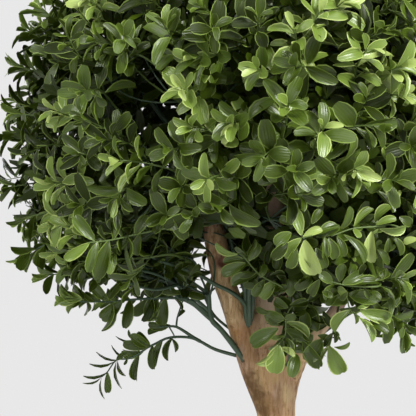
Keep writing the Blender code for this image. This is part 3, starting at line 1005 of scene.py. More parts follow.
@dataclass
class LeafBed:
    """Leaves gathered for one piece: where each is, how it lies and its tone."""

    roots: list = field(default_factory=list)
    heads: list = field(default_factory=list)
    faces: list = field(default_factory=list)
    sizes: list = field(default_factory=list)
    widths: list = field(default_factory=list)
    tones: list = field(default_factory=list)
    drawn: list = field(default_factory=list)
    kinds: list = field(default_factory=list)

    def add(
        self,
        root: np.ndarray,
        head: np.ndarray,
        facing: np.ndarray,
        size: float,
        width: float,
        tone: int,
        drawn: Drawn,
        kind: int = -1,
    ) -> None:
        """Add one leaf.

        Args:
            root: Where it leaves its twig.
            head: Direction from root to tip.
            facing: Direction that its upper side faces.
            size: Length in metres.
            width: Width against the usual.
            tone: Index of its tone.
            drawn: How finely it is drawn.
            kind: Index of its shape, or -1 to leave it to chance.
        """
        self.roots.append(root)
        self.heads.append(head)
        self.faces.append(facing)
        self.sizes.append(size)
        self.widths.append(width)
        self.tones.append(tone)
        self.drawn.append(drawn)
        self.kinds.append(kind)

    def fill(self, store: FaceStore, rng: np.random.Generator) -> None:
        """Draw the leaves into a store.

        Args:
            store: Store that takes the faces.
            rng: Source of the leaves' small differences.
        """
        if not self.roots:
            return
        roots, sizes = np.array(self.roots), np.array(self.sizes)
        heads = unit(np.array(self.heads))
        facing = np.array(self.faces)
        facing = unit(facing - heads * np.sum(heads * facing, axis=1, keepdims=True))
        side = np.cross(heads, facing)
        tones, drawn = np.array(self.tones), np.array(self.drawn)
        kinds = rng.integers(0, 30, len(roots))
        kinds = np.where(np.array(self.kinds) < 0, kinds, self.kinds)
        widths = np.array(self.widths) * rng.uniform(0.88, 1.12, len(roots))
        for detail, shapes in SHAPES.items():
            for number, shape in enumerate(shapes):
                points, faces, rims, maps = shape.build()
                pick = (drawn == detail) & (kinds % len(shapes) == number)
                if not pick.any():
                    continue
                wide = side[pick] * widths[pick, None]
                axes = np.stack([wide, heads[pick], facing[pick]], axis=1) * sizes[pick, None, None]
                placed = roots[pick, None] + np.einsum("vk,nkc->nvc", points, axes)
                slots = np.where(rims[None], RIM_OF[tones[pick]][:, None], tones[pick][:, None])
                store.add(placed, faces, slots, maps)


# ---------------------------------------------------------------------------------- balls


def heading_of(azimuth: float, elevation: float) -> np.ndarray:
    """Unit vector from an azimuth and an elevation in degrees. Azimuth -90 looks to the front."""
    a, e = math.radians(azimuth), math.radians(elevation)
    return np.array((math.cos(a) * math.cos(e), math.sin(a) * math.cos(e), math.sin(e)))


def spiral_headings(count: int, turn: float) -> np.ndarray:
    """Headings spread evenly over a sphere on a golden spiral.

    Args:
        count: Number of headings.
        turn: Angle that the whole spiral is turned by, in radians.

    Returns:
        Count by 3 unit vectors.
    """
    i = np.arange(count)
    height = 1.0 - 2.0 * (i + 0.5) / count
    across = np.sqrt(1.0 - height**2)
    angle = math.pi * (3.0 - math.sqrt(5.0)) * i + turn
    return np.stack([across * np.cos(angle), across * np.sin(angle), height], axis=1)


# Where the camera stands and listed leaves are looked at from
EYE = np.array((-0.045, -1.250, 1.183))


def shown_at(point: np.ndarray) -> tuple[float, float]:
    """x and z at which a point shows against the plane of the pole, looked at from the eye."""
    across = EYE + (point - EYE) * EYE[1] / (EYE[1] - point[1])
    return float(across[0]), float(across[2])


def at_depth(x: float, z: float, deep: float) -> np.ndarray:
    """The point so deep in front of the pole's plane that shows at x and z. All are in metres."""
    shown = np.array((x, 0.0, z))
    return EYE + (shown - EYE) * (1.0 + deep / EYE[1])


@dataclass(frozen=True)
class HandLeaf:
    """A listed leaf. x, z, tip_x and tip_z, in millimetres, are where its ends show from the eye.

    Bulge is 1 or -1, the side that it bows to. Openness is 0 where it shows its edge and 1 where it
    shows its upper side.
    """

    x: float
    z: float
    tip_x: float
    tip_z: float
    bulge: int
    openness: float
    width: float
    tone: int
    kind: int


@dataclass(frozen=True)
class HandSpray:
    """A spray with every leaf given one by one along its stem.

    start holds points in metres, through which the stem comes out of the crown. route holds where the
    rest of it shows from the eye, and near and far its depth in front of the pole at the route's two
    ends, all in millimetres, as is its thickness.
    """

    start: tuple
    route: tuple
    near: float
    far: float
    thick: float
    rows: tuple

    @property
    def leaves(self) -> list[HandLeaf]:
        """Its leaves, one for each row. A row holds a leaf's fields in their order."""
        return [HandLeaf(*row) for row in self.rows]

    def depth(self, x: float) -> float:
        """Depth in front of the pole, in metres, of a point that shows at x millimetres."""
        share = (x - self.route[0][0]) / (self.route[-1][0] - self.route[0][0])
        return (self.near + (self.far - self.near) * min(max(share, 0.0), 1.0)) * MM

    def places(self) -> list[tuple[float, float, float]]:
        """Find where its leaves show.

        Returns:
            x and z at which the middle of each leaf shows, and its depth, in metres.
        """
        return [
            (0.5 * (leaf.x + leaf.tip_x) * MM, 0.5 * (leaf.z + leaf.tip_z) * MM, self.depth(leaf.x))
            for leaf in self.leaves
        ]

    def stem_path(self) -> np.ndarray:
        """Points along its stem."""
        shown = [at_depth(x * MM, z * MM, self.depth(x)) for x, z in self.route]
        return smooth_path([*self.start, *shown], 3.0 * MM)


@dataclass(frozen=True)
class StemRun:
    """A stem by its radius at both ends, in millimetres, and the points of its route, in metres."""

    first: float
    last: float
    route: tuple


@dataclass(frozen=True)
class Dressing:
    """How the leaves of one twig are.

    tone is that of its older leaves, pairs their number and hang how far they droop. scale and width
    are against the usual. Leaves of a listed twig may stand in the gaps.
    """

    tone: float
    pairs: int
    hang: float = 0.0
    scale: float = 1.0
    width: float = 1.0
    drawn: Drawn = Drawn.FINE
    by_hand: bool = True


@dataclass(frozen=True)
class OpenSpray:
    """A spray on the open side, set by its tip, its start and the point where it leaves the tangle.

    x, depth and z are the tip's, in millimetres, where depth is in front of the axis.
    """

    x: float
    depth: float
    z: float
    start: tuple
    foot: tuple
    look: Dressing


@dataclass(frozen=True)
class Sprig:
    """A listed sprig on the front. x and z, in millimetres, are where its tip shows from the eye."""

    x: float
    z: float
    turn: float
    tilt: float
    tone: float
    pairs: int = 6
    hang: float = 0.10
    depth: float = 0.95
    length: float = 34.0
    scale: float = 1.0
    width: float = 1.0

    def tip(self, centre: np.ndarray, radius: float) -> np.ndarray:
        """Where its tip stands: on the front of a sphere, where the eye sees it at its x and z.

        Args:
            centre: Centre of the ball.
            radius: Radius of the ball.

        Returns:
            The tip's place.
        """
        tip = at_depth(self.x * MM, self.z * MM, 0.0)
        for _ in range(4):
            left = (radius * self.depth) ** 2 - (tip[0] - centre[0]) ** 2 - (tip[2] - centre[2]) ** 2
            tip = at_depth(self.x * MM, self.z * MM, math.sqrt(max(left, 0.0)) - centre[1])
        return tip

    def heading(self) -> np.ndarray:
        """Unit vector that it points along: turn is in the front plane, tilt is towards the front."""
        turn, tilt = math.radians(self.turn), math.radians(self.tilt)
        return np.array((math.cos(turn) * math.cos(tilt), -math.sin(tilt), math.sin(turn) * math.cos(tilt)))


@dataclass
class Ball:
    """One ball of foliage: masses round the pole, each grown from a stem into twigs and leaves."""

    name: str
    centre: np.ndarray
    radius: float
    headings: dict
    bark: BVHTree
    seed: int
    # Each layer of twigs: number, least and greatest share of the reach, whether it is the outermost
    layers: tuple = ((660, 0.905, 0.965, True), (780, 0.74, 0.87, False), (380, 0.50, 0.70, False))
    floor_drop: float = 0.905
    hub_share: float = 0.50
    branch_share: float = 0.66
    branch_spread: float = 0.62
    branches: int = 9
    leaf_length: float = 20.5 * MM
    pair_step: float = 7.8 * MM
    young_steps: tuple = (4.0 * MM, 6.0 * MM)
    stem_radius: float = 2.6 * MM
    branch_radius: float = 1.8 * MM
    twig_radius: float = 0.95 * MM
    twig_tip: float = 0.45 * MM
    plug: float = 2.0 * MM
    knee: float = 14.0 * MM
    fresh_share: float = 0.12
    fresh_gain: float = 0.10
    fresh_tone: float = 2.9
    usual_tone: float = 0.68
    tone_spread: float = 0.70
    # Twigs inside the ball get darker tones than those outside: painted shade
    inner_shade_tone: float = -0.1
    inner_spread: float = 0.35
    # Twigs on the right, the key lamp's side, get lighter tones: painted light
    painted_light_gain: float = 0.5
    painted_light_width: float = 0.200
    slim_share: float = 0.20
    slim_from: float = -0.060
    slim_width: float = 0.060
    lean_spread: float = 0.30
    lift: float = 0.12
    turn_spread: float = 0.18
    angle_spread: float = 10.0
    most_droop: float = 1.7
    head_spread: float = 0.12
    facing_spread: float = 0.22
    lengths: tuple = (0.84, 1.14)
    young_gain: float = 0.9
    young_fade: float = 0.8
    shade_spread: float = 0.35
    twig_room: float = 4.0 * MM
    floor_room: float = 10.0 * MM
    floor_spread: float = 14.0 * MM
    sprigs: tuple = ()
    sprig_room: float = 21.0 * MM
    hollows: tuple = ()
    cleared: np.ndarray | None = None

    def __post_init__(self) -> None:
        """Start the random numbers and the stores of each mass."""
        self.rng = np.random.default_rng(self.seed)
        self.leaves = {name: LeafBed() for name in self.headings}
        self.stems = {name: FaceStore() for name in self.headings}

    # ---- space

    def floor(self, x: float, y: float) -> float:
        """Height of the underside at x and y."""
        return self.centre[2] - self.floor_drop * self.radius

    def reach(self, heading: np.ndarray) -> float:
        """How far foliage stands out from the centre.

        Args:
            heading: Unit vector from the centre.

        Returns:
            The distance, less than the radius where the underside cuts it short.
        """
        if heading[2] >= -0.05:
            return self.radius
        level = self.floor(0.7 * self.radius * heading[0], 0.7 * self.radius * heading[1])
        return min(self.radius, (self.centre[2] - level) / -heading[2])

    def owner(self, heading: np.ndarray) -> str:
        """Name of the mass that a heading belongs to."""
        return max(self.headings, key=lambda name: float(np.dot(heading, self.headings[name])))

    def in_bark(self, point: np.ndarray, margin: float) -> bool:
        """Whether a point is in a limb or close to its bark.

        Args:
            point: The point.
            margin: How close counts.

        Returns:
            True where it is.
        """
        near, normal, _, distance = self.bark.find_nearest(Vector(point), 0.03)
        if near is None:
            return False
        return distance < margin or (Vector(point) - near).dot(normal) < 0.0

    def free(self, point: np.ndarray, margin: float = 0.8 * MM) -> bool:
        """Whether foliage may be at a point: over the underside and off the limbs.

        Args:
            point: The point.
            margin: Room that it needs from the bark.

        Returns:
            True where it may be.
        """
        if point[2] < self.floor(point[0], point[1]) + 2.0 * MM:
            return False
        return not self.in_bark(point, margin)

    # ---- growth

    def stem(
        self, name: str, path: np.ndarray, first: float, last: float, sides: int, tone: StemTone
    ) -> None:
        """Draw one stem.

        Args:
            name: Name of its mass.
            path: Points along it.
            first: Radius at its start.
            last: Radius at its end.
            sides: Number of its sides.
            tone: Its colour.
        """
        points, faces = tube(path, np.linspace(first, last, len(path)), sides)
        self.stems[name].add(points[None], faces, np.full((1, len(faces)), int(tone)), None)

    def grow_branches(self, name: str) -> np.ndarray:
        """Grow a mass's stem and its branches.

        Args:
            name: Name of the mass.

        Returns:
            The branches' ends, from which twigs grow.
        """
        heading = self.headings[name]
        hub = self.centre + heading * self.hub_share * self.reach(heading)
        near, normal, _, _ = self.bark.find_nearest(Vector(hub))
        root = np.array(near) - np.array(normal) * self.plug
        knee = np.array(near) + np.array(normal) * self.knee
        path = bezier(root, knee, hub, 8)
        self.stem(name, path, self.stem_radius, self.stem_radius * 0.85, 6, StemTone.DARK)
        ends = []
        around = unit(np.cross(heading, [0.2, 0.3, 0.9]))
        over = np.cross(heading, around)
        for i in range(self.branches):
            angle = i * BRANCH_TURN + self.rng.uniform(-0.3, 0.3)
            spread = self.branch_spread * math.sqrt((i + 0.5) / self.branches)
            aim = unit(heading + spread * (around * math.cos(angle) + over * math.sin(angle)))
            end = self.centre + aim * self.reach(aim) * self.branch_share * self.rng.uniform(0.9, 1.05)
            bend = hub + heading * 0.02 + self.rng.normal(0.0, 0.006, 3)
            if not self.free(end, 3.0 * MM):
                continue
            path = bezier(hub, bend, end, 7)
            self.stem(name, path, self.branch_radius, self.branch_radius * 0.7, 5, StemTone.DARK)
            ends.append(end)
        ends.append(hub)
        return np.array(ends)

    def tip_headings(self) -> Iterator[tuple[np.ndarray, float, bool]]:
        """Place the tips of the twigs.

        Yields:
            Heading of a tip, its share of the reach and whether its layer is the outermost.
        """
        for count, low, high, outer in self.layers:
            spread = spiral_headings(count, 0.7 * outer)
            shaken = unit(spread + self.rng.normal(0.0, 0.035, spread.shape))
            for heading in shaken:
                swell = 0.05 * noise.noise(Vector(heading) * 4.5 + Vector((self.seed, 0.0, 0.0)))
                yield heading, self.rng.uniform(low, high) + min(swell, 0.02), outer

    def tone_of(self, tip: np.ndarray) -> float:
        """Choose the tone of a twig: most are dark or middling, some are fresh, more of them high up.

        Args:
            tip: The twig's tip.

        Returns:
            The tone of its older leaves.
        """
        height = float(tip[2] - self.centre[2]) / self.radius
        if self.rng.random() < self.fresh_share + self.fresh_gain * height:
            return self.fresh_tone
        return self.usual_tone + self.rng.normal(0.0, self.tone_spread)

    def grow_twig(self, name: str, start: np.ndarray, tip: np.ndarray, outer: bool) -> None:
        """Grow one twig with its leaves.

        Args:
            name: Name of its mass.
            start: The branch end that it grows from.
            tip: Its tip.
            outer: Whether it reaches the ball's surface.
        """
        radial = unit(tip - self.centre)
        lean = unit(radial + self.rng.normal(0.0, self.lean_spread, 3) + np.array((0.0, 0.0, self.lift)))
        span = np.linalg.norm(tip - start)
        bend = tip - lean * min(0.6 * span, 0.05)
        path = bezier(start, bend, tip, 7)
        stem_tone = StemTone.YOUNG if outer else StemTone.DARK
        self.stem(name, path, self.twig_radius, self.twig_tip, 3, stem_tone)
        # Lighter tones towards the right, the key lamp's side: painted light
        painted_light = self.painted_light_gain * min(max(tip[0] / self.painted_light_width, 0.0), 1.0)
        # Twigs inside the ball take darker tones: painted shade
        tone = self.tone_of(tip) if outer else self.rng.normal(self.inner_shade_tone, self.inner_spread)
        slim = 1.0 - self.slim_share * min(max((self.slim_from - tip[0]) / self.slim_width, 0.0), 1.0)
        drawn = Drawn.FINE if outer else Drawn.SMALL
        look = Dressing(tone + painted_light, 6 if outer else 4, width=slim, drawn=drawn, by_hand=False)
        self.dress(name, bezier(start, bend, tip, 25), look)

    def dress(self, name: str, path: np.ndarray, look: Dressing) -> None:
        """Set pairs of leaves along the end of a twig, each pair square to the last.

        Args:
            name: Name of its mass.
            path: Points along the twig.
            look: How its leaves are.
        """
        steps = np.linalg.norm(np.diff(path, axis=0), axis=1)
        along = np.concatenate(([0.0], np.cumsum(steps)))
        turn = self.rng.uniform(0.0, math.pi)
        back = 0.5 * MM
        for pair in range(look.pairs):
            at = along[-1] - back
            if at < 2.0 * MM:
                return
            place = np.array([np.interp(at, along, path[:, k]) for k in range(3)])
            before = np.array([np.interp(at - 1.0 * MM, along, path[:, k]) for k in range(3)])
            head = unit(place - before)
            square = unit(np.cross(head, [0.29, 0.41, 0.86]))
            other = np.cross(head, square)
            turn += math.pi / 2.0 + self.rng.normal(0.0, self.turn_spread)
            aside = square * math.cos(turn) + other * math.sin(turn)
            for out in (aside, -aside):
                self.set_leaf(name, place, head, out, pair, look)
            back += self.young_steps[pair] if pair < len(self.young_steps) else self.pair_step

    def set_leaf(
        self, name: str, place: np.ndarray, head: np.ndarray, out: np.ndarray, pair: int, look: Dressing
    ) -> None:
        """Set one leaf of a pair, unless it would stand in bark, in a gap or before the bare wood.

        Args:
            name: Name of its mass.
            place: Where the pair stands.
            head: Direction of the twig there.
            out: Direction in which the leaf leaves it.
            pair: Number of the pair, from the tip.
            look: How the twig's leaves are.
        """
        angle = math.radians(LEAF_SPREAD[min(pair, 7)] + self.rng.normal(0.0, self.angle_spread))
        leaf = head * math.cos(angle) + out * math.sin(angle)
        drop = look.hang * self.rng.uniform(0.0, self.most_droop)
        leaf = unit(leaf - np.array((0.0, 0.0, drop)) + self.rng.normal(0.0, self.head_spread, 3))
        facing = head * math.sin(angle) - out * math.cos(angle)
        facing = facing + self.rng.normal(0.0, self.facing_spread, 3)
        length = look.scale * self.leaf_length * LEAF_GROWTH[min(pair, 7)] * self.rng.uniform(*self.lengths)
        root = place + out * 0.6 * MM
        tip, middle = root + leaf * length, root + leaf * 0.5 * length
        if look.by_hand:
            kept = not (self.in_bark(tip, 0.5 * MM) or self.in_bark(middle, 0.5 * MM))
        else:
            kept = self.free(tip) and self.free(middle)
        if not kept or before_pole(tip) or before_pole(middle) or math.hypot(tip[0], tip[1]) > LEAF_LIMIT:
            return
        youth = self.young_gain * max(0.0, 1.0 - self.young_fade * pair)
        shade = look.tone + youth + self.rng.normal(0.0, self.shade_spread)
        level = int(min(max(round(shade), Tone.DEEP), Tone.FRESH))
        self.leaves[name].add(root, leaf, facing, length, look.width, level, look.drawn)

    def grow_sprig(self, sprig: Sprig, ends: dict) -> None:
        """Grow one listed sprig, from the nearest branch of the mass that it stands in.

        Args:
            sprig: The sprig.
            ends: The branches' ends of each mass.
        """
        tip = sprig.tip(self.centre, self.radius)
        name = self.owner(unit(tip - self.centre))
        foot = tip - sprig.heading() * sprig.length * MM
        foot[2] -= 0.12 * sprig.length * MM
        start = ends[name][int(np.argmin(np.linalg.norm(ends[name] - foot, axis=1)))]
        middle = 0.5 * (foot + tip) + np.array((0.0, 0.0, 0.05 * sprig.length * MM))
        path = smooth_path((start, foot, middle, tip), 4.0 * MM)
        self.stem(name, path, 1.2 * MM, 0.5 * MM, 5, StemTone.YOUNG)
        look = Dressing(sprig.tone, sprig.pairs, sprig.hang, sprig.scale, sprig.width)
        self.dress(name, path, look)

    def grow(self) -> None:
        """Grow every mass."""
        ends = {name: self.grow_branches(name) for name in self.headings}
        for sprig in self.sprigs:
            self.grow_sprig(sprig, ends)
        for heading, share, outer in self.tip_headings():
            tip = self.centre + heading * self.reach(heading) * share
            low = self.floor(tip[0], tip[1]) + self.floor_room
            if tip[2] < low:
                tip[2] = low + self.rng.uniform(0.0, self.floor_spread)
            if any(distance_to_path(tip, np.array(run)) < size for run, size in self.hollows):
                continue
            if self.before_hand_set(tip) or outer and self.kept_clear(tip):
                continue
            if not self.free(tip, self.twig_room):
                continue
            name = self.owner(heading)
            gaps = np.linalg.norm(ends[name] - tip, axis=1)
            start = ends[name][int(np.argmin(gaps))]
            if outer and not self.free(0.5 * (start + tip), 0.5 * MM):
                continue
            self.grow_twig(name, start, tip, outer)

    def before_hand_set(self, tip: np.ndarray) -> bool:
        """Whether a twig would stand before a listed leaf.

        Args:
            tip: The twig's tip.

        Returns:
            True where it would.
        """
        if self.cleared is None or tip[1] >= 0.0:
            return False
        x, z = shown_at(tip)
        near = np.hypot(self.cleared[:, 0] - x, self.cleared[:, 1] - z) < HAND_ROOM
        return bool(np.any(near & (-tip[1] > self.cleared[:, 2])))

    def kept_clear(self, tip: np.ndarray) -> bool:
        """Whether an outer twig is left out, because it would stand before a sprig.

        Args:
            tip: The twig's tip.

        Returns:
            True where it is left out.
        """
        if tip[1] >= 0.0:
            return False
        x, z = shown_at(tip)
        return any(math.hypot(x - s.x * MM, z - s.z * MM) < self.sprig_room for s in self.sprigs)

    def build(self, leaf_slots: Materials, stem_slots: Materials) -> None:
        """Make each mass's leaves one piece and its stems another, both in place of the CAD mass.

        Args:
            leaf_slots: Materials of the leaves.
            stem_slots: Materials of the stems.
        """
        for name in self.headings:
            node = self.name + "_mass_" + name
            store = FaceStore()
            self.leaves[name].fill(store, self.rng)
            leaves = store.build(self.name + "_leaves_" + name, leaf_slots)
            register(leaves, (node,))
            stems = self.stems[name].build(self.name + "_stems_" + name, stem_slots)
            register(stems, (node,))


@dataclass
class UpperBall(Ball):
    """The upper ball: its underside is uneven, and it is open low on the left."""

    floor_swell: float = 9.0 * MM
    floor_lumps: float = 26.0 * MM
    thin_share: float = 0.40

    def floor(self, x: float, y: float) -> float:
        """Height of the underside, which rises towards the sides.

        Args:
            x: Place across.
            y: Place from front to back.

        Returns:
            The height.
        """
        across = shown_at(np.array((x, y, 0.0)))[0]
        level = float(np.interp(across, UNDERSIDE[:, 0], UNDERSIDE[:, 1]))
        level += self.floor_swell * noise.noise(Vector((x, y, 0.0)) / self.floor_lumps)
        return float(EYE[2] + (level - EYE[2]) * (1.0 - y / EYE[1]))

    def free(self, point: np.ndarray, margin: float = 0.8 * MM) -> bool:
        """Whether foliage may be at a point, which is out of the gaps too."""
        return not in_gap(point) and super().free(point, margin)

    def kept_clear(self, tip: np.ndarray) -> bool:
        """Whether an outer twig is left out, before a sprig or to thin out the left side.

        Args:
            tip: The twig's tip.

        Returns:
            True where it is left out.
        """
        if super().kept_clear(tip):
            return True
        low_left = tip[0] < THIN_RIGHT and tip[2] < THIN_TOP
        edge = tip[0] < THIN_EDGE and tip[2] < EDGE_TOP
        return (low_left or edge) and self.rng.random() < self.thin_share


# The golden angle, by which each branch is turned from the last
BRANCH_TURN = 2.399
# By pair from the tip: the leaves' angle to the twig in degrees, and their share of the usual length
LEAF_SPREAD = (30.0, 42.0, 52.0, 58.0, 62.0, 64.0, 66.0, 66.0)
LEAF_GROWTH = (0.66, 0.90, 1.04, 1.10, 1.08, 1.02, 0.96, 0.90)
# The upper ball is thinner low on the left and near its left edge
THIN_RIGHT, THIN_TOP = -0.060, 1.160
THIN_EDGE, EDGE_TOP = -0.170, 1.285
# No leaf reaches further from the axis than this
LEAF_LIMIT = 0.2335
# How far a twig's tip keeps from a listed leaf behind it
HAND_ROOM = 10.0 * MM
# The upper ball's underside, x and z, as it shows from the front
UNDERSIDE = np.array(
    (
        (-0.235, 1.172), (-0.205, 1.148), (-0.180, 1.130), (-0.150, 1.112), (-0.075, 1.108),
        (-0.040, 1.106), (0.000, 1.100), (0.030, 1.092), (0.048, 1.096), (0.056, 1.106),
        (0.070, 1.106), (0.082, 1.094), (0.098, 1.076), (0.112, 1.064), (0.150, 1.072),
        (0.190, 1.110), (0.235, 1.150),
    )
)
# Left, right, low and high edges of the stretches of the pole that no leaf stands before
BARE_WOOD = (
    (-0.050, -0.031, 1.132, 1.170),
    (-0.044, -0.026, 1.098, 1.132),
    (-0.014, 0.006, 1.074, 1.110),
    (0.003, 0.018, 1.162, 1.196),
)
# The gaps in the upper ball: straight through, in front of the fork, low in the slot and round the
# loose spray
THROUGH_LEFT, THROUGH_RIGHT, THROUGH_TOP = -0.064, -0.040, 1.156
WINDOW_LEFT, WINDOW_RIGHT = -0.095, -0.010
WINDOW_FRONT, WINDOW_TOP = -0.030, 1.160
SLOT_LEFT, SLOT_RIGHT, SLOT_TOP = -0.052, -0.018, 1.118
DROOP_CLEAR = 22.0 * MM
DROOP_PATH = (
    (-0.0215, -0.0060, 1.0606), (-0.0390, -0.0040, 1.0656), (-0.0516, -0.0060, 1.0725),
    (-0.0600, -0.0080, 1.0750), (-0.0725, -0.0110, 1.0757), (-0.0833, -0.0140, 1.0722),
    (-0.1020, -0.0170, 1.0630), (-0.1215, -0.0190, 1.0555), (-0.1365, -0.0210, 1.0415),
)


def in_gap(point: np.ndarray) -> bool:
    """Whether a point is in the open side of the upper ball or along the loose spray.

    Args:
        point: The point.

    Returns:
        True where it is.
    """
    x, y, z = point
    if WINDOW_LEFT < x < WINDOW_RIGHT and y < WINDOW_FRONT and z < WINDOW_TOP:
        return True
    if SLOT_LEFT < x < SLOT_RIGHT and z < SLOT_TOP:
        return True
    if THROUGH_LEFT < x < THROUGH_RIGHT and z < THROUGH_TOP:
        return True
    return distance_to_path(point, DROOP_KNOTS) < DROOP_CLEAR


def before_pole(point: np.ndarray) -> bool:
    """Whether a leaf would hide the stretches of the pole and its boughs that show.

    Args:
        point: A point of the leaf.

    Returns:
        True where it would.
    """
    if point[1] > 0.0:
        return False
    x, z = shown_at(point)
    return any(left < x < right and low < z < high for left, right, low, high in BARE_WOOD)


def distance_to_path(point: np.ndarray, knots: np.ndarray) -> float:
    """Distance from a point to a path of straight runs.

    Args:
        point: The point.
        knots: Points of the path.

    Returns:
        The least distance.
    """
    runs = knots[1:] - knots[:-1]
    share = np.clip(np.sum((point - knots[:-1]) * runs, axis=1) / np.sum(runs**2, axis=1), 0.0, 1.0)
    return float(np.linalg.norm(point - knots[:-1] - runs * share[:, None], axis=1).min())


DROOP_KNOTS = np.array(DROOP_PATH)


# ---------------------------------------------------------------------------------- pot and fill


@dataclass
class Pot:
    """A plain tapering moulded pot with a stepped, rounded rim, in place of the CAD pot."""

    steps: int = 96
    wall: float = 4.0 * MM
    bead: float = 2.0 * MM
    foot: float = 0.100
    step_out: float = 6.0 * MM
    rim_height: float = 22.0 * MM

    def profile(self) -> list[tuple[float, float]]:
        """Draw the pot's section, from the middle of its inner floor to the middle of its foot.

        Returns:
            Radius and height of each point.
        """
        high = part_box("pot")[1]
        top, deep = high.z, high.z - self.rim_height
        slope = (high.x - self.step_out - self.foot) / top
        at_wall, at_deep, at_top = (self.foot + slope * z for z in (self.wall, deep, top))
        half = (self.step_out + self.wall) / 2.0
        lip = []
        for i in range(9):  # the rolled edge over the rim, a half round from inside to outside
            angle = math.pi * (1.0 - i / 8.0)
            middle = at_top + self.step_out - half
            lip.append((middle + half * math.cos(angle), top - self.bead + self.bead * math.sin(angle)))
        return [
            (0.0, self.wall),
            (at_wall - self.wall, self.wall),
            *lip,
            (at_deep + self.step_out, deep + self.bead),
            (at_deep + self.step_out - 0.6 * MM, deep + 0.6 * MM),
            (at_deep + self.step_out - self.bead, deep),
            (at_deep + 1.0 * MM, deep),
            (at_deep, deep - 1.0 * MM),
            (self.foot + slope * 60.0 * MM, 60.0 * MM),
            (self.foot + slope * 5.0 * MM, 5.0 * MM),
            (self.foot - 0.6 * MM, 1.6 * MM),
            (self.foot - 4.0 * MM, 0.0),
            (self.foot - 12.0 * MM, 0.0),
            (0.0, 0.0),
        ]

    def build(self) -> bpy.types.Object:
        """Spin the profile round the pot's axis.

        Returns:
            The pot.
        """
        ob = turned("moulded_pot", self.profile(), self.steps)
        bpy.ops.object.shade_smooth_by_angle(angle=math.radians(35.0))
        ob.data.materials.append(MouldedPot().build())
        register(ob, ("pot",))
        return ob


POT_TAPER = 0.030 / 0.230


@dataclass
class Fill:
    """The dark fill in the pot: a crumbly top, with loose crumbs of bark on it."""

    rings: int = 26
    sides: int = 80
    crumbs: int = 900
    crumb_sizes: tuple = (1.2 * MM, 4.2 * MM)
    crumb_shape: tuple = ((0.8, 1.9), (0.6, 1.1), (0.3, 0.6))
    sunk: float = 0.5 * MM
    coarse_lumps: float = 18.0 * MM
    fine_lumps: float = 5.0 * MM
    coarse_swell: float = 1.8 * MM
    fine_swell: float = 1.2 * MM

    def build(self, rng: random.Random) -> None:
        """Build the fill and its crumbs.

        Args:
            rng: Source of the crumbs' places.
        """
        low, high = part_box("pot_fill")
        radius = high.x
        top = high.z - self.sunk
        profile = [(0.0, low.z), (radius - POT_TAPER * (high.z - low.z), low.z)]
        profile += [(radius * (1.0 - i / (self.rings + 1)), top) for i in range(self.rings + 1)]
        ob = turned("pot_fill_top", [*profile, (0.0, top)], self.sides)
        for vert in ob.data.vertices:
            away = math.hypot(vert.co.x, vert.co.y)
            if vert.co.z > high.z - 1.0 * MM and away < radius - 1.0 * MM:
                coarse = noise.noise(vert.co / self.coarse_lumps)
                fine = noise.noise(vert.co / self.fine_lumps)
                vert.co.z += self.coarse_swell * coarse + self.fine_swell * fine
        bpy.ops.object.shade_smooth()
        ob.data.materials.append(EarthyTop().build())
        register(ob, ("pot_fill",))
        self.scatter(rng, radius, high.z)

    def scatter(self, rng: random.Random, radius: float, level: float) -> None:
        """Scatter crumbs over the fill.

        Args:
            rng: Source of their places.
            radius: Radius of the fill.
            level: Height of the fill's top.
        """
        bpy.ops.mesh.primitive_ico_sphere_add(subdivisions=1, radius=1.0, location=(0, 0, 0))
        pattern = bpy.context.object
        points = np.array([v.co for v in pattern.data.vertices])
        faces = np.array([tuple(p.vertices) for p in pattern.data.polygons])
        bpy.data.objects.remove(pattern, do_unlink=True)
        store = FaceStore()
        for _ in range(self.crumbs):
            away = radius * math.sqrt(rng.uniform(0.06, 0.93))
            angle = rng.uniform(0.0, 2.0 * math.pi)
            size = rng.uniform(*self.crumb_sizes)
            scale = np.array([rng.uniform(low, high) for low, high in self.crumb_shape])
            turn = Matrix.Rotation(rng.uniform(0, 6.28), 3, "Z")
            turn = turn @ Matrix.Rotation(rng.gauss(0, 0.4), 3, "X")
            shaken = points * (1.0 + np.array([rng.uniform(-0.25, 0.25) for _ in points])[:, None])
            placed = (shaken * scale * size) @ np.array(turn).T
            placed += np.array((away * math.cos(angle), away * math.sin(angle), level + 0.4 * size))
            store.add(placed[None], faces, np.zeros((1, len(faces)), int), None)
        finish = EarthyTop("bark_crumbs", "2E2219", "6B523A")
        ob = store.build("bark_crumbs", [finish.build()])
        ob.data.polygons.foreach_set("use_smooth", np.zeros(len(ob.data.polygons), bool))
        register(ob, ())


# ---------------------------------------------------------------------------------- loose stems


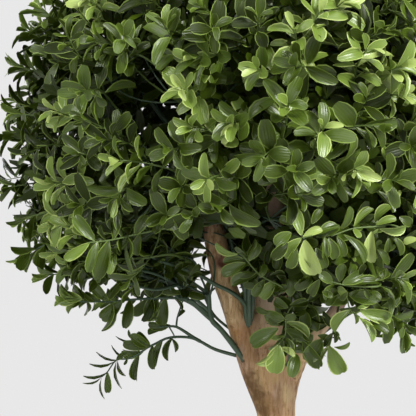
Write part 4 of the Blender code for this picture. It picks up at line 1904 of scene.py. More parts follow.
@dataclass
class OpenSide:
    """The stems that show where the upper ball is open, and the loose spray that droops out of it."""

    ball: Ball
    step: float = 3.0 * MM
    spray_step: float = 4.0 * MM
    end_radius: float = 0.5 * MM
    depth_spread: float = 4.0 * MM
    facing_spread: float = 0.26
    young_depth: float = 60.0
    tangled: int = 26
    tangle_starts: tuple = ((-0.0445, -0.020, 1.112), (-0.0640, -0.022, 1.108), (-0.0550, -0.033, 1.130))
    tangle_ends: tuple = ((-0.150, -0.050), (-0.050, 0.040), (1.125, 1.195))
    tangle_bends: tuple = (0.014, 0.010, 0.008)
    tangle_look: Dressing = Dressing(0.9, 5, 0.2, 0.9, 0.8)

    def stem_runs(self, name: str, runs: Sequence[StemRun], sides: int) -> None:
        """Draw stems by their routes.

        Args:
            name: Name of the store that they go to.
            runs: The stems.
            sides: Number of their sides.
        """
        for run in runs:
            path = smooth_path(run.route, self.step)
            self.ball.stem(name, path, run.first * MM, run.last * MM, sides, StemTone.DARK)

    def hand_spray(self, name: str, spray: HandSpray) -> None:
        """Grow a listed spray.

        Args:
            name: Name of the leaf bed and the store that it goes to.
            spray: The spray.
        """
        tone = StemTone.YOUNG if spray.far > self.young_depth else StemTone.DARK
        self.ball.stem(name, spray.stem_path(), spray.thick * MM, self.end_radius, 8, tone)
        for leaf in spray.leaves:
            deep = spray.depth(leaf.x)
            root = at_depth(leaf.x * MM, leaf.z * MM, deep)
            aside = self.ball.rng.normal(0.0, self.depth_spread)
            tip = at_depth(leaf.tip_x * MM, leaf.tip_z * MM, deep + aside)
            head = unit(tip - root)
            across = np.cross(head, (0.0, 1.0, 0.0))
            facing = across * leaf.bulge * (1.0 - leaf.openness) + np.array((0.0, -leaf.openness, 0.0))
            facing = unit(facing + self.ball.rng.normal(0.0, self.facing_spread, 3) * leaf.openness)
            arch = FINE_SHAPES[leaf.kind].arch
            # Leaves seen edge-on take the dull dark olive of painted shade
            drawn = Drawn.FINE if leaf.tone == Tone.EDGE else Drawn.BY_HAND
            size = float(np.linalg.norm(tip - root)) / math.hypot(1.0, 0.5 * arch)
            head = unit(head + facing * arch)
            self.ball.leaves[name].add(root, head, facing, size, leaf.width, leaf.tone, drawn, leaf.kind)

    def sprays(self) -> None:
        """Grow the sprays that the moulded stems on the open side carry."""
        for spray in HAND_SPRAYS[1:]:
            self.hand_spray("open", spray)
        for spray in OPEN_SPRAYS:
            tip = np.array((spray.x * MM, -spray.depth * MM, spray.z * MM))
            middle = 0.5 * (np.array(spray.foot) + tip) + np.array((0.0, 0.0, 2.0 * MM))
            path = smooth_path((spray.start, spray.foot, middle, tip), self.spray_step)
            self.ball.stem("open", path, 1.5 * MM, self.end_radius, 6, StemTone.DARK)
            self.ball.dress("open", path, spray.look)

    def tangle(self) -> None:
        """Grow thin stems that cross inside the open side, with a few dark leaves."""
        rng = self.ball.rng
        for number in range(self.tangled):
            start = np.array(self.tangle_starts[number % len(self.tangle_starts)]) + rng.normal(0.0, 0.002, 3)
            end = np.array([rng.uniform(low, high) for low, high in self.tangle_ends])
            bend = 0.5 * (start + end) + np.array([rng.normal(0, much) for much in self.tangle_bends])
            path = bezier(start, bend, end, 12)
            self.ball.stem("open", path, 1.0 * MM, self.end_radius, 5, StemTone.DARK)
            self.ball.dress("open", path, self.tangle_look)

    def build(self, leaf_slots: Materials, stem_slots: Materials) -> None:
        """Build the loose spray and the open side's stems and leaves.

        Args:
            leaf_slots: Materials of the leaves.
            stem_slots: Materials of the stems.
        """
        ball = self.ball
        for kind in ("droop", "open"):
            ball.leaves[kind], ball.stems[kind] = LeafBed(), FaceStore()
        self.stem_runs("droop", DROOP_TWIGS, 6)
        self.hand_spray("droop", HAND_SPRAYS[0])
        self.stem_runs("open", THICK_STEMS, 10)
        self.sprays()
        self.tangle()
        pieces = (("droop", "loose_spray", "loose_spray"), ("open", "open_side", "upper_mass_low_front_left"))
        for kind, title, node in pieces:
            store = FaceStore()
            ball.leaves[kind].fill(store, ball.rng)
            register(store.build(title + "_leaves", leaf_slots), (node,))
            register(ball.stems[kind].build(title + "_stems", stem_slots), (node,))


DROOP_TWIGS = (
    StemRun(
        1.7,
        0.8,
        (
            (-0.0516, -0.0060, 1.0725), (-0.0575, -0.0090, 1.0762), (-0.0640, -0.0110, 1.0808),
            (-0.0710, -0.0130, 1.0850), (-0.0770, -0.0140, 1.0855), (-0.0860, -0.0150, 1.0850),
        ),
    ),
    StemRun(0.9, 0.6, ((-0.0710, -0.0130, 1.0850), (-0.0704, -0.0130, 1.0920), (-0.0660, -0.0160, 1.1060))),
    StemRun(0.7, 0.6, ((-0.0770, -0.0140, 1.0850), (-0.0740, -0.0140, 1.0800), (-0.0720, -0.0120, 1.0756))),
    StemRun(0.6, 0.5, ((-0.0945, -0.0140, 1.0675), (-0.0990, -0.0150, 1.0710), (-0.1035, -0.0160, 1.0728))),
)
THICK_STEMS = (
    # From the hole in the pole's left side up to the hub
    StemRun(
        2.5,
        2.0,
        (
            (-0.0100, -0.0070, 1.0510), (-0.0155, -0.0125, 1.0580), (-0.0242, -0.0155, 1.0700),
            (-0.0342, -0.0180, 1.0830), (-0.0425, -0.0195, 1.0925), (-0.0445, -0.0200, 1.1120),
        ),
    ),
    # The same stem's second lobe
    StemRun(
        1.9,
        1.7,
        (
            (-0.0120, -0.0070, 1.0530), (-0.0175, -0.0115, 1.0610), (-0.0260, -0.0150, 1.0735),
            (-0.0365, -0.0180, 1.0860), (-0.0460, -0.0200, 1.0945), (-0.0560, -0.0210, 1.1035),
            (-0.0640, -0.0220, 1.1080),
        ),
    ),
    # Hub to the low spray
    StemRun(
        1.7,
        1.2,
        (
            (-0.0400, -0.0190, 1.0930), (-0.0470, -0.0200, 1.1010), (-0.0560, -0.0220, 1.1090),
            (-0.0700, -0.0240, 1.1200),
        ),
    ),
    # A thin one from behind the pole
    StemRun(
        1.2,
        1.1,
        (
            (-0.0170, 0.0020, 1.0760), (-0.0283, -0.0010, 1.0835), (-0.0404, -0.0100, 1.0950),
            (-0.0480, -0.0140, 1.1100),
        ),
    ),
    # From the fork across the left bough
    StemRun(
        1.9,
        1.3,
        (
            (-0.0115, -0.0150, 1.0980), (-0.0185, -0.0225, 1.1085), (-0.0283, -0.0245, 1.1155),
            (-0.0383, -0.0270, 1.1203), (-0.0550, -0.0330, 1.1300), (-0.0817, -0.0450, 1.1400),
        ),
    ),
    # Stems bundled in the fork
    StemRun(
        2.1,
        1.6,
        (
            (-0.0125, -0.0130, 1.0850), (-0.0140, -0.0170, 1.0980), (-0.0150, -0.0230, 1.1190),
            (-0.0180, -0.0420, 1.1420),
        ),
    ),
    StemRun(
        2.2,
        1.6,
        (
            (-0.0110, -0.0150, 1.0870), (-0.0112, -0.0190, 1.0990), (-0.0110, -0.0250, 1.1190),
            (-0.0060, -0.0480, 1.1400),
        ),
    ),
    StemRun(
        2.1,
        1.6,
        (
            (-0.0100, -0.0110, 1.0900), (-0.0085, -0.0160, 1.1010), (-0.0070, -0.0200, 1.1190),
            (0.0040, -0.0400, 1.1450),
        ),
    ),
    # Between the left bough and the leader
    StemRun(
        1.8,
        1.3,
        (
            (-0.0130, -0.0060, 1.1080), (-0.0205, -0.0050, 1.1350), (-0.0283, -0.0030, 1.1620),
            (-0.0420, 0.0040, 1.1980),
        ),
    ),
    # Out of the hole in the pole's front
    StemRun(
        1.8,
        1.4,
        (
            (0.0205, -0.0150, 1.0540), (0.0215, -0.0240, 1.0590), (0.0230, -0.0330, 1.0720),
            (0.0200, -0.0430, 1.0900),
        ),
    ),
    # Behind the right bough
    StemRun(
        1.5,
        1.2,
        (
            (0.0450, -0.0100, 1.0760), (0.0600, -0.0160, 1.0880), (0.0695, -0.0200, 1.0955),
            (0.0900, -0.0300, 1.1080),
        ),
    ),
)
HAND_SPRAYS = (
    # The spray that droops on the left
    HandSpray(
        ((-0.0215, -0.0060, 1.0606), (-0.0390, -0.0040, 1.0656), (-0.0516, -0.0060, 1.0725)),
        (
            (-59.9, 1075.0), (-71.5, 1075.6), (-80.4, 1074.1), (-88.1, 1070.3), (-95.8, 1066.4),
            (-102.9, 1061.3), (-111.8, 1057.4), (-121.5, 1056.2), (-128.5, 1046.8), (-133.6, 1042.3),
        ),
        near=10,
        far=20,
        thick=1.6,
        rows=(
            (-70.2, 1092, -64.2, 1097.7, 1, 0.8, 1.01, 1, 0),
            (-76.3, 1085.3, -94.8, 1086.9, 1, 0.65, 0.87, 1, 0),
            (-80.4, 1083.6, -94.8, 1077.7, -1, 0.65, 0.92, 2, 1),
            (-77.9, 1084.4, -88.1, 1082.1, 1, 0.75, 0.92, 1, 5),
            (-74.3, 1075.1, -77.9, 1055.5, -1, 0.85, 0.87, 1, 0),
            (-76, 1074.9, -72.2, 1062.8, 1, 0.55, 0.83, 2, 1),
            (-91, 1069, -90.3, 1048.5, -1, 0.85, 0.7, 1, 0),
            (-82.8, 1072.8, -89.7, 1051.9, -1, 0.75, 0.66, 2, 2),
            (-102.2, 1061.5, -104.8, 1039.5, -1, 0.9, 0.66, 1, 0),
            (-93.3, 1068, -103.5, 1079.7, 1, 0.75, 1.01, 1, 0),
            (-93.9, 1067.6, -109.7, 1076.9, 1, 0.6, 1.01, 2, 1),
            (-94.5, 1067.2, -115.7, 1069.2, -1, 0.7, 0.83, 1, 5),
            (-99, 1063.3, -115.7, 1064.6, 1, 0.6, 0.92, 2, 0),
            (-95.2, 1066.7, -101.6, 1075.6, 1, 0.8, 1.01, 0, 0),
            (-101.6, 1062.2, -102.2, 1072.8, 1, 0.7, 0.74, 1, 1),
            (-103.5, 1072.8, -121.7, 1076.5, 1, 0.11, 0.59, 7, 2),
            (-104, 1072.3, -110.8, 1081.8, 1, 0.45, 0.74, 1, 0),
            (-111.2, 1058, -125, 1068.7, 1, 0.08, 0.44, 7, 2),
            (-111.5, 1057.7, -117.1, 1063.6, 1, 0.75, 0.83, 2, 1),
            (-112.2, 1057.3, -115, 1052.3, 1, 0.85, 0.86, 1, 0),
            (-117.4, 1056.7, -137.9, 1063.7, 1, 0.11, 0.59, 7, 2),
            (-121.7, 1056, -143.5, 1053.6, 1, 0.13, 0.59, 7, 2),
            (-121.1, 1055.8, -116.3, 1032.8, -1, 0.14, 0.63, 7, 2),
            (-120.2, 1055.9, -113.3, 1043.1, -1, 0.24, 0.74, 0, 0),
            (-121.5, 1056.2, -112.2, 1063.1, 1, 0.7, 0.83, 1, 1),
            (-128.4, 1046.9, -148.6, 1043.6, 1, 0.18, 0.7, 7, 2),
            (-133.6, 1042.3, -149.4, 1037.5, 1, 0.12, 0.59, 7, 2),
            (-128.8, 1046.4, -128.6, 1029, -1, 0.85, 0.7, 2, 0),
            (-133.4, 1042.1, -130.8, 1023.9, -1, 0.1, 0.44, 7, 2),
        ),
    ),
    # Under the ball, nearly level
    HandSpray(
        ((-0.0400, -0.0190, 1.0900),),
        (
            (-51.6, 1099.9), (-61.9, 1106.7), (-82.4, 1108.1),
            (-108.0, 1106.7), (-128.5, 1105.0), (-150.7, 1105.0), (-153.1, 1106.7),
        ),
        near=21,
        far=46,
        thick=1.5,
        rows=(
            (-152.4, 1107.6, -172.3, 1109.8, 1, 0.7, 1.28, 3, 0),
            (-153.1, 1108.3, -168.7, 1116.3, 1, 0.6, 1.08, 3, 1),
            (-154.1, 1108.5, -167.3, 1119.7, 1, 0.45, 0.81, 2, 0),
            (-152.4, 1106.1, -172.9, 1100.6, -1, 0.4, 1.08, 3, 0),
            (-153.1, 1105.7, -161, 1094.4, -1, 0.5, 0.88, 3, 1),
            (-152.8, 1106.7, -162.3, 1104.7, 1, 0.9, 0.81, 4, 1),
            (-146.5, 1105.4, -148.7, 1094.1, 1, 0.2, 0.94, 2, 2),
            (-143.9, 1105.4, -152.1, 1098.9, -1, 0.5, 0.78, 2, 1),
            (-140.1, 1105.4, -156.7, 1118.4, 1, 0.6, 0.9, 1, 0),
            (-140.1, 1105, -142.2, 1097, 1, 0.5, 0.78, 2, 0),
            (-133.6, 1105.2, -140.1, 1113.9, 1, 0.6, 0.78, 2, 1),
            (-127.5, 1105.4, -142.5, 1123.2, 1, 0.75, 0.81, 2, 0),
            (-129.9, 1104.9, -139.4, 1097.3, -1, 0.5, 0.9, 3, 1),
            (-120, 1105.6, -128.5, 1113.9, 1, 0.6, 0.9, 1, 0),
            (-116.2, 1105.7, -134, 1090.5, -1, 0.8, 0.95, 2, 0),
            (-124.8, 1104.7, -134.2, 1081.1, 1, 0.15, 0.78, 1, 2),
            (-110.2, 1106.4, -114.8, 1082.5, 1, 0.85, 0.78, 1, 0),
            (-107.7, 1106.4, -118.6, 1095.5, 1, 0.15, 0.78, 1, 0),
            (-109.7, 1106.6, -122, 1118, 1, 0.8, 1.01, 2, 1),
            (-96, 1107.6, -107.2, 1092.4, 1, 0.8, 1.01, 1, 5),
            (-91.3, 1107.8, -100, 1088.6, 1, 0.6, 0.9, 0, 0),
            (-86.6, 1107.9, -97.4, 1088.8, 1, 0.4, 0.78, 0, 1),
            (-80.3, 1108.1, -84.1, 1085.9, -1, 0.85, 0.9, 1, 0),
            (-89.2, 1107.8, -96, 1120.1, 1, 0.6, 0.9, 1, 0),
            (-82.4, 1108.1, -75.5, 1119.7, -1, 0.5, 0.9, 1, 1),
            (-99.5, 1107.3, -108, 1117.9, 1, 0.6, 0.9, 1, 1),
            (-73.8, 1107.8, -67, 1097.3, 1, 0.3, 0.78, 0, 0),
            (-149.9, 1107.1, -166.1, 1111.5, 1, 0.8, 1.22, 3, 0),
            (-148.2, 1106.7, -161, 1100.8, -1, 0.7, 1.08, 2, 1),
            (-146.5, 1105.7, -152.4, 1116, 1, 0.6, 1.08, 2, 0),
            (-135.3, 1105, -148.2, 1111.5, 1, 0.75, 0.95, 1, 1),
            (-125.1, 1105, -135.3, 1099.9, -1, 0.6, 0.9, 2, 0),
            (-133.6, 1105, -128.5, 1116.1, -1, 0.6, 0.9, 1, 0),
            (-116.6, 1106.1, -113.1, 1117.9, -1, 0.6, 0.9, 1, 0),
            (-104.6, 1106.7, -111.4, 1099.9, -1, 0.6, 0.9, 2, 1),
            (-102.9, 1107.1, -104.6, 1119.6, 1, 0.7, 1.01, 0, 1),
            (-92.6, 1107.8, -84.1, 1121.3, -1, 0.7, 1.01, 0, 0),
            (-84.9, 1107.9, -89.2, 1096.5, -1, 0.5, 0.9, 1, 0),
            (-94.3, 1107.8, -89.2, 1088.8, -1, 0.7, 1.01, 1, 0),
        ),
    ),
    # Over it, pale
    HandSpray(
        ((-0.0450, -0.0900, 1.1700),),
        ((-71.6, 1167.5), (-96.0, 1163.0), (-126.0, 1156.3), (-144.9, 1154.1)),
        near=150,
        far=165,
        thick=1.3,
        rows=(
            (-139.3, 1155.9, -156.2, 1176.3, 1, 0.8, 0.78, 2, 0),
            (-129.8, 1156.3, -132.7, 1169.7, 1, 0.65, 0.69, 1, 0),
            (-123.8, 1156.8, -123.8, 1181.2, -1, 0.85, 0.73, 1, 0),
            (-116, 1158.1, -119.4, 1180.3, 1, 0.65, 0.73, 1, 1),
            (-106, 1160.3, -95.6, 1176.8, -1, 0.85, 0.83, 1, 0),
            (-143.8, 1154.1, -164.2, 1139.7, -1, 0.85, 0.78, 3, 1),
            (-136.5, 1155, -144.5, 1129.2, -1, 0.75, 0.69, 2, 0),
            (-127.6, 1155.9, -136.9, 1124.8, -1, 0.85, 0.71, 1, 0),
            (-112.7, 1159, -111.1, 1141.2, 1, 0.15, 0.69, 1, 2),
            (-101.6, 1161.5, -104.5, 1143.5, -1, 0.85, 0.83, 1, 0),
            (-144.5, 1154.1, -161.6, 1149.7, 1, 0.45, 0.69, 2, 1),
        ),
    ),
    # Between the two
    HandSpray(
        ((-0.0600, -0.0400, 1.1400),),
        ((-75.5, 1144.3), (-98.6, 1141.3), (-128.5, 1140.2), (-143.9, 1138.9), (-153.3, 1138.5)),
        near=52,
        far=80,
        thick=1.2,
        rows=(
            (-147, 1148.8, -163.5, 1140.2, -1, 0.8, 1.08, 3, 0),
            (-152.4, 1138.5, -166.8, 1129, 1, 0.65, 0.96, 1, 0),
            (-147, 1137.8, -157.6, 1120.1, -1, 0.12, 0.96, 1, 2),
            (-128.5, 1140.6, -137.7, 1122.1, -1, 0.8, 0.96, 2, 0),
            (-133.6, 1139.2, -143.9, 1133.2, 1, 0.55, 0.84, 1, 1),
            (-98.6, 1141.6, -113.1, 1129.3, 1, 0.75, 0.96, 2, 0),
            (-109.7, 1140.9, -120, 1130.7, 1, 0.65, 0.96, 1, 1),
            (-116.6, 1140.6, -125.1, 1125.5, -1, 0.55, 0.96, 1, 0),
        ),
    ),
    # In the fork
    HandSpray(
        ((0.0010, -0.0400, 1.1100),),
        ((19.1, 1114.7), (5.2, 1123.2), (-3.9, 1129.1), (-15.1, 1142.4), (-19.9, 1145.1)),
        near=112,
        far=134,
        thick=1.3,
        rows=(
            (-19.6, 1145, -38.6, 1154.2, 1, 0.6, 0.67, 3, 0),
            (-15.5, 1140.7, -32.2, 1136.9, -1, 0.65, 0.9, 2, 1),
            (-13.8, 1137.1, -33.5, 1127.7, -1, 0.85, 0.9, 2, 0),
            (-5.3, 1128.5, -22.8, 1130.9, 1, 0.65, 0.95, 1, 0),
            (-3.6, 1128.1, -24.9, 1117.6, -1, 0.85, 0.95, 2, 1),
            (-14, 1145.6, -6.3, 1157.6, -1, 0.55, 1.01, 2, 0),
            (-11.7, 1138.6, -4.8, 1154.6, -1, 0.9, 1.01, 2, 1),
            (-2.1, 1124.8, 2, 1136.2, -1, 0.8, 1.12, 2, 0),
            (2, 1123.2, -6.6, 1108.9, -1, 0.75, 1.12, 2, 1),
            (10.7, 1122.3, -1, 1107.8, -1, 0.95, 1.23, 3, 0),
            (6.3, 1126.4, 19.3, 1127.5, 1, 0.65, 1.01, 1, 1),
            (11.8, 1128.5, 14.8, 1145.8, -1, 0.9, 1.01, 1, 0),
            (3.1, 1133.9, 4.8, 1147.3, 1, 0.85, 0.9, 0, 1),
            (23.3, 1109.1, 26, 1124.3, -1, 0.95, 1.34, 2, 0),
            (13.2, 1114.7, 21.2, 1117.6, 1, 0.9, 1.23, 1, 1),
            (-18.1, 1165.3, 1.6, 1161.6, 1, 0.75, 1.01, 1, 0),
            (-9.8, 1134.9, -13, 1138.1, 1, 0.75, 1.01, 1, 0),
            (-0.1, 1116.8, -6.6, 1123.2, 1, 0.75, 1.12, 1, 0),
            (14.8, 1118.9, 8.4, 1113.6, 1, 0.85, 1.12, 1, 1),
            (24.4, 1114.7, 31.9, 1118.9, 1, 0.85, 1.23, 1, 0),
            (5.2, 1129.6, 10.5, 1136, 1, 0.85, 1.12, 1, 0),
            (-4.4, 1132.8, -9.8, 1127.5, 1, 0.75, 1.12, 0, 1),
            (19.1, 1123.2, 14.8, 1130.7, 1, 0.85, 1.12, 0, 0),
        ),
    ),
    # Before the pole
    HandSpray(
        ((0.0300, -0.0400, 1.1250),),
        ((38.7, 1108.3), (25.9, 1101.9), (20.3, 1092.3), (19.5, 1077.9), (13.4, 1069.0)),
        near=100,
        far=112,
        thick=1.3,
        rows=(
            (21.9, 1100, 10.7, 1106.7, 1, 0.8, 1.08, 2, 0),
            (23, 1101.9, 37.9, 1105.4, 1, 0.8, 1.08, 1, 1),
            (18.8, 1090.4, 2.3, 1095.2, -1, 0.9, 1.25, 2, 0),
            (18.7, 1090.7, 28.1, 1093.1, 1, 0.6, 1.14, 2, 5),
            (13.4, 1082.7, -8.6, 1068.9, -1, 0.6, 0.9, 2, 0),
            (18.5, 1076.9, 4.1, 1080.4, 1, 0.45, 0.91, 3, 2),
            (18.8, 1087.8, 39, 1075, 1, 0.5, 0.74, 3, 1),
            (12.8, 1069.2, -5, 1052.9, 1, 0.45, 0.71, 4, 1),
            (13.9, 1068.9, 9.9, 1045.2, -1, 0.95, 1.25, 3, 0),
            (14.7, 1066.6, 27.5, 1059.3, 1, 0.5, 0.8, 4, 1),
            (28.8, 1061.2, 24.3, 1042, -1, 0.95, 0.97, 2, 0),
            (27.8, 1074.7, 23, 1061.8, -1, 0.75, 1.03, 1, 0),
            (20.3, 1074.7, 24.3, 1061.8, 1, 0.75, 1.03, 1, 1),
            (33.9, 1071.8, 48.8, 1050.3, 1, 0.8, 0.85, 1, 0),
            (49.9, 1073.7, 36.1, 1055.9, -1, 0.9, 1.14, 2, 0),
            (46.4, 1076.9, 55, 1072.7, 1, 0.65, 1.14, 2, 1),
            (46.7, 1080.3, 39, 1099, 1, 0.9, 1.37, 1, 0),
            (38.7, 1081.9, 33.9, 1096.3, 1, 0.85, 1.25, 1, 1),
            (50.7, 1097.1, 59.2, 1084.9, -1, 0.75, 1.08, 0, 0),
            (28.3, 1092.3, 33.9, 1080.3, -1, 0.75, 1.03, 1, 1),
            (33.9, 1105.1, 25.9, 1113.1, 1, 0.85, 1.14, 1, 0),
            (38.7, 1105.1, 47.5, 1111.5, 1, 0.85, 1.14, 1, 1),
            (6.7, 1095.5, -4.5, 1100.3, 1, 0.75, 1.03, 1, 0),
            (41.1, 1090.7, 53.1, 1088.3, 1, 0.75, 1.14, 0, 0),
            (25.9, 1085.9, 17.1, 1095.5, 1, 0.75, 1.03, 1, 1),
            (14.7, 1085.9, 5.1, 1090.7, 1, 0.65, 1.03, 1, 1),
            (33.9, 1079.5, 42.2, 1072.7, 1, 0.85, 1.14, 1, 0),
            (20.3, 1069.8, 18.7, 1059.4, 1, 0.55, 0.8, 1, 0),
        ),
    ),
    # Between the pole and the right bough
    HandSpray(
        ((0.0600, -0.0450, 1.1050),),
        ((62.7, 1095.5), (59.8, 1082.7), (58.7, 1077.9), (56.3, 1067.9)),
        near=92,
        far=100,
        thick=1.1,
        rows=(
            (56, 1067.9, 66.9, 1045.5, 1, 0.9, 1.12, 3, 0),
            (56.3, 1068.2, 48, 1048.1, -1, 0.4, 0.73, 4, 1),
            (60, 1067.3, 73.1, 1071.4, -1, 0.5, 0.84, 3, 0),
            (58.7, 1079.1, 64.7, 1076.6, 1, 0.65, 1.01, 2, 1),
            (57.9, 1078.7, 53.1, 1067.4, -1, 0.75, 1.01, 1, 0),
            (59.2, 1080.3, 61.1, 1070.6, 1, 0.65, 0.9, 1, 1),
            (54.7, 1085.9, 46.7, 1081.9, 1, 0.85, 1.12, 1, 0),
            (56.3, 1073.1, 49.1, 1069, 1, 0.65, 1.01, 0, 1),
            (58.2, 1074.7, 65.5, 1072.7, 1, 0.65, 1.01, 1, 1),
        ),
    ),
    # Past the right bough
    HandSpray(
        ((0.0800, -0.0700, 1.1250),),
        ((65.9, 1117.9), (70.7, 1109.9), (73.1, 1098.7), (81.2, 1092.3)),
        near=140,
        far=150,
        thick=1.2,
        rows=(
            (73.1, 1097.7, 60.3, 1079.8, -1, 0.8, 0.94, 3, 0),
            (76, 1096.8, 78.3, 1086.5, 1, 0.65, 0.88, 3, 1),
            (81.6, 1097.4, 107.9, 1091.3, -1, 0.9, 0.94, 3, 0),
            (80.7, 1092, 92, 1071.4, 1, 0.55, 0.72, 3, 1),
            (70.4, 1108, 63.5, 1117.6, 1, 0.8, 0.99, 3, 0),
            (72.3, 1111.2, 97.2, 1107.3, -1, 0.9, 1.1, 2, 0),
            (63.1, 1114.7, 54.4, 1101.2, -1, 0.85, 1.1, 2, 1),
            (88.4, 1087.5, 105.2, 1078.7, 1, 0.75, 1.1, 1, 0),
            (98, 1090.7, 96.4, 1076.3, -1, 0.65, 0.99, 1, 1),
            (75.5, 1105.1, 83.6, 1097.4, 1, 0.75, 0.99, 1, 0),
            (91.6, 1105.1, 98, 1097.1, 1, 0.85, 1.1, 1, 1),
            (85.2, 1090.7, 90.8, 1080.3, 1, 0.75, 0.99, 0, 0),
            (65.9, 1109.9, 58.7, 1116.3, 1, 0.85, 1.1, 1, 0),
        ),
    ),
    # Pale, over the fork
    HandSpray(
        ((0.0350, -0.1200, 1.1650),),
        ((43.9, 1160.8), (33.2, 1158.1)),
        near=196,
        far=198,
        thick=1.2,
        rows=(
            (32.7, 1160.3, 24.7, 1181.7, -1, 0.9, 1.04, 3, 0),
            (34.1, 1159, 49.8, 1165.7, 1, 0.7, 0.99, 4, 1),
            (32.7, 1157.9, 18.5, 1142.1, -1, 0.85, 0.99, 3, 0),
            (35.6, 1156.3, 46.5, 1127.9, 1, 0.95, 1.04, 4, 0),
            (31.2, 1143, 38.1, 1130.1, 1, 0.85, 1.21, 2, 1),
            (24.3, 1162.6, 11.2, 1151.5, -1, 0.9, 1.21, 2, 0),
            (46.5, 1160.8, 63.6, 1167.5, 1, 0.9, 0.99, 2, 0),
            (52.3, 1158.6, 52.7, 1140.8, -1, 0.9, 1.04, 2, 1),
            (55.4, 1158.1, 60.7, 1140.4, 1, 0.75, 0.99, 1, 0),
            (28.3, 1149.7, 21.6, 1133, 1, 0.85, 1.1, 1, 0),
            (41.6, 1169.7, 48.3, 1181.9, 1, 0.85, 1.1, 1, 1),
            (45, 1149.7, 52.7, 1133, 1, 0.85, 1.1, 1, 0),
            (28.3, 1169.7, 15, 1174.1, 1, 0.85, 1.1, 1, 1),
            (21.6, 1154.1, 8.3, 1140.8, 1, 0.85, 1.1, 0, 0),
        ),
    ),
    # Pale, on the right
    HandSpray(
        ((0.1100, -0.1100, 1.1900),),
        ((118.4, 1168.1), (106.0, 1169.4), (93.6, 1167.5), (75.0, 1165.7), (57.7, 1159.5)),
        near=176,
        far=190,
        thick=1.2,
        rows=(
            (66.3, 1165.4, 73.3, 1184.5, -1, 0.9, 0.81, 2, 0),
            (76.9, 1167.9, 92.1, 1182.5, 1, 0.8, 0.76, 3, 1),
            (76, 1165.7, 82.2, 1159.2, 1, 0.75, 1.19, 3, 5),
            (68.2, 1160.7, 85.4, 1137.2, 1, 0.8, 0.76, 2, 1),
            (91.4, 1163.4, 92.4, 1137.4, -1, 0.95, 0.86, 4, 0),
            (96.9, 1165.9, 90.9, 1160.9, 1, 0.55, 0.86, 3, 5),
            (94.2, 1171.1, 106.5, 1184.7, 1, 0.85, 0.97, 3, 0),
            (98, 1165.7, 120.1, 1169.1, -1, 0.9, 0.92, 3, 1),
            (95.1, 1169.1, 111.9, 1173.8, 1, 0.65, 0.86, 3, 0),
            (50.2, 1159.5, 63.9, 1169.1, 1, 0.9, 1.03, 2, 1),
            (56.4, 1158.2, 52.1, 1143.1, -1, 0.9, 1.13, 2, 0),
            (59.2, 1149.6, 53.9, 1137.7, -1, 0.85, 1.08, 1, 1),
            (62.4, 1159.5, 67.6, 1141.9, 1, 0.55, 0.86, 1, 0),
            (114.4, 1175.6, 124.3, 1169.4, 1, 0.85, 1.19, 1, 0),
            (129.8, 1157.6, 118.6, 1153, -1, 0.9, 1.19, 4, 1),
            (108.5, 1159.5, 115.9, 1143.4, 1, 0.75, 0.97, 1, 0),
            (106, 1158.2, 104.7, 1145.8, -1, 0.75, 0.97, 1, 1),
        ),
    ),
    # Below it
    HandSpray(
        ((0.0750, -0.1000, 1.1350),),
        ((98.5, 1118.6), (75.0, 1118.0), (62.6, 1120.3), (50.2, 1123.5)),
        near=166,
        far=174,
        thick=1.2,
        rows=(
            (58.4, 1120.8, 48.1, 1129, 1, 0.85, 1.21, 2, 0),
            (64.8, 1121.6, 67.3, 1136.4, -1, 0.9, 1.21, 2, 1),
            (72.5, 1127, 75.8, 1136.7, -1, 0.75, 1.1, 2, 0),
            (67, 1120.3, 84.4, 1128.5, 1, 0.9, 0.99, 2, 0),
            (75, 1118.3, 96.9, 1119.8, 1, 0.45, 0.88, 1, 2),
            (48, 1123.5, 40.8, 1110.2, -1, 0.9, 1.1, 1, 1),
            (60.9, 1120.1, 53.5, 1105.9, -1, 0.45, 0.88, 2, 0),
            (101, 1123.5, 98.5, 1133.2, 1, 0.9, 1.21, 1, 0),
            (93.6, 1122.3, 104.7, 1131, 1, 0.75, 0.99, 1, 1),
            (50.2, 1113.6, 58.9, 1108.7, 1, 0.85, 1.1, 1, 0),
            (84.9, 1116.1, 89.9, 1108.7, 1, 0.85, 1.1, 1, 1),
            (81.2, 1127.3, 86.2, 1135.9, 1, 0.85, 1.1, 0, 0),
            (53.9, 1124.8, 50.2, 1133.4, 1, 0.85, 1.1, 1, 1),
            (71.3, 1113.6, 63.9, 1107.4, 1, 0.85, 1.1, 1, 0),
            (89.9, 1113.6, 98.5, 1106.2, 1, 0.85, 1.1, 1, 0),
        ),
    ),
)
HUB_END = (-0.0640, -0.0220, 1.1080)
LOW_END = (-0.0700, -0.0240, 1.1200)
BOUGH_END = (-0.0817, -0.0450, 1.1400)
OPEN_SPRAYS = (
    OpenSpray(-140, 34, 1128, LOW_END, (-0.0900, -0.0550, 1.1180), Dressing(1.1, 7, 0.10)),
    OpenSpray(-155, 60, 1138, LOW_END, (-0.0900, -0.0300, 1.1300), Dressing(1.2, 7, 0.30)),
    OpenSpray(-193, 38, 1146, BOUGH_END, (-0.1400, -0.0400, 1.1640), Dressing(1.5, 8, 0.60, 1.1)),
    OpenSpray(-176, 20, 1128, LOW_END, (-0.1100, -0.0200, 1.1300), Dressing(1.0, 6, 0.50)),
    OpenSpray(-92, -12, 1126, HUB_END, (-0.0630, 0.0040, 1.1190), Dressing(0.4, 5, 0.20)),
    OpenSpray(-74, -14, 1144, HUB_END, (-0.0600, 0.0040, 1.1160), Dressing(0.3, 5, 0.10)),
    OpenSpray(-86, -4, 1112, HUB_END, (-0.0640, -0.0020, 1.1130), Dressing(0.5, 4, 0.10, 0.9)),
    OpenSpray(-104, -16, 1136, HUB_END, (-0.0740, 0.0040, 1.1260), Dressing(0.6, 5, 0.20)),
)


# ---------------------------------------------------------------------------------- staging


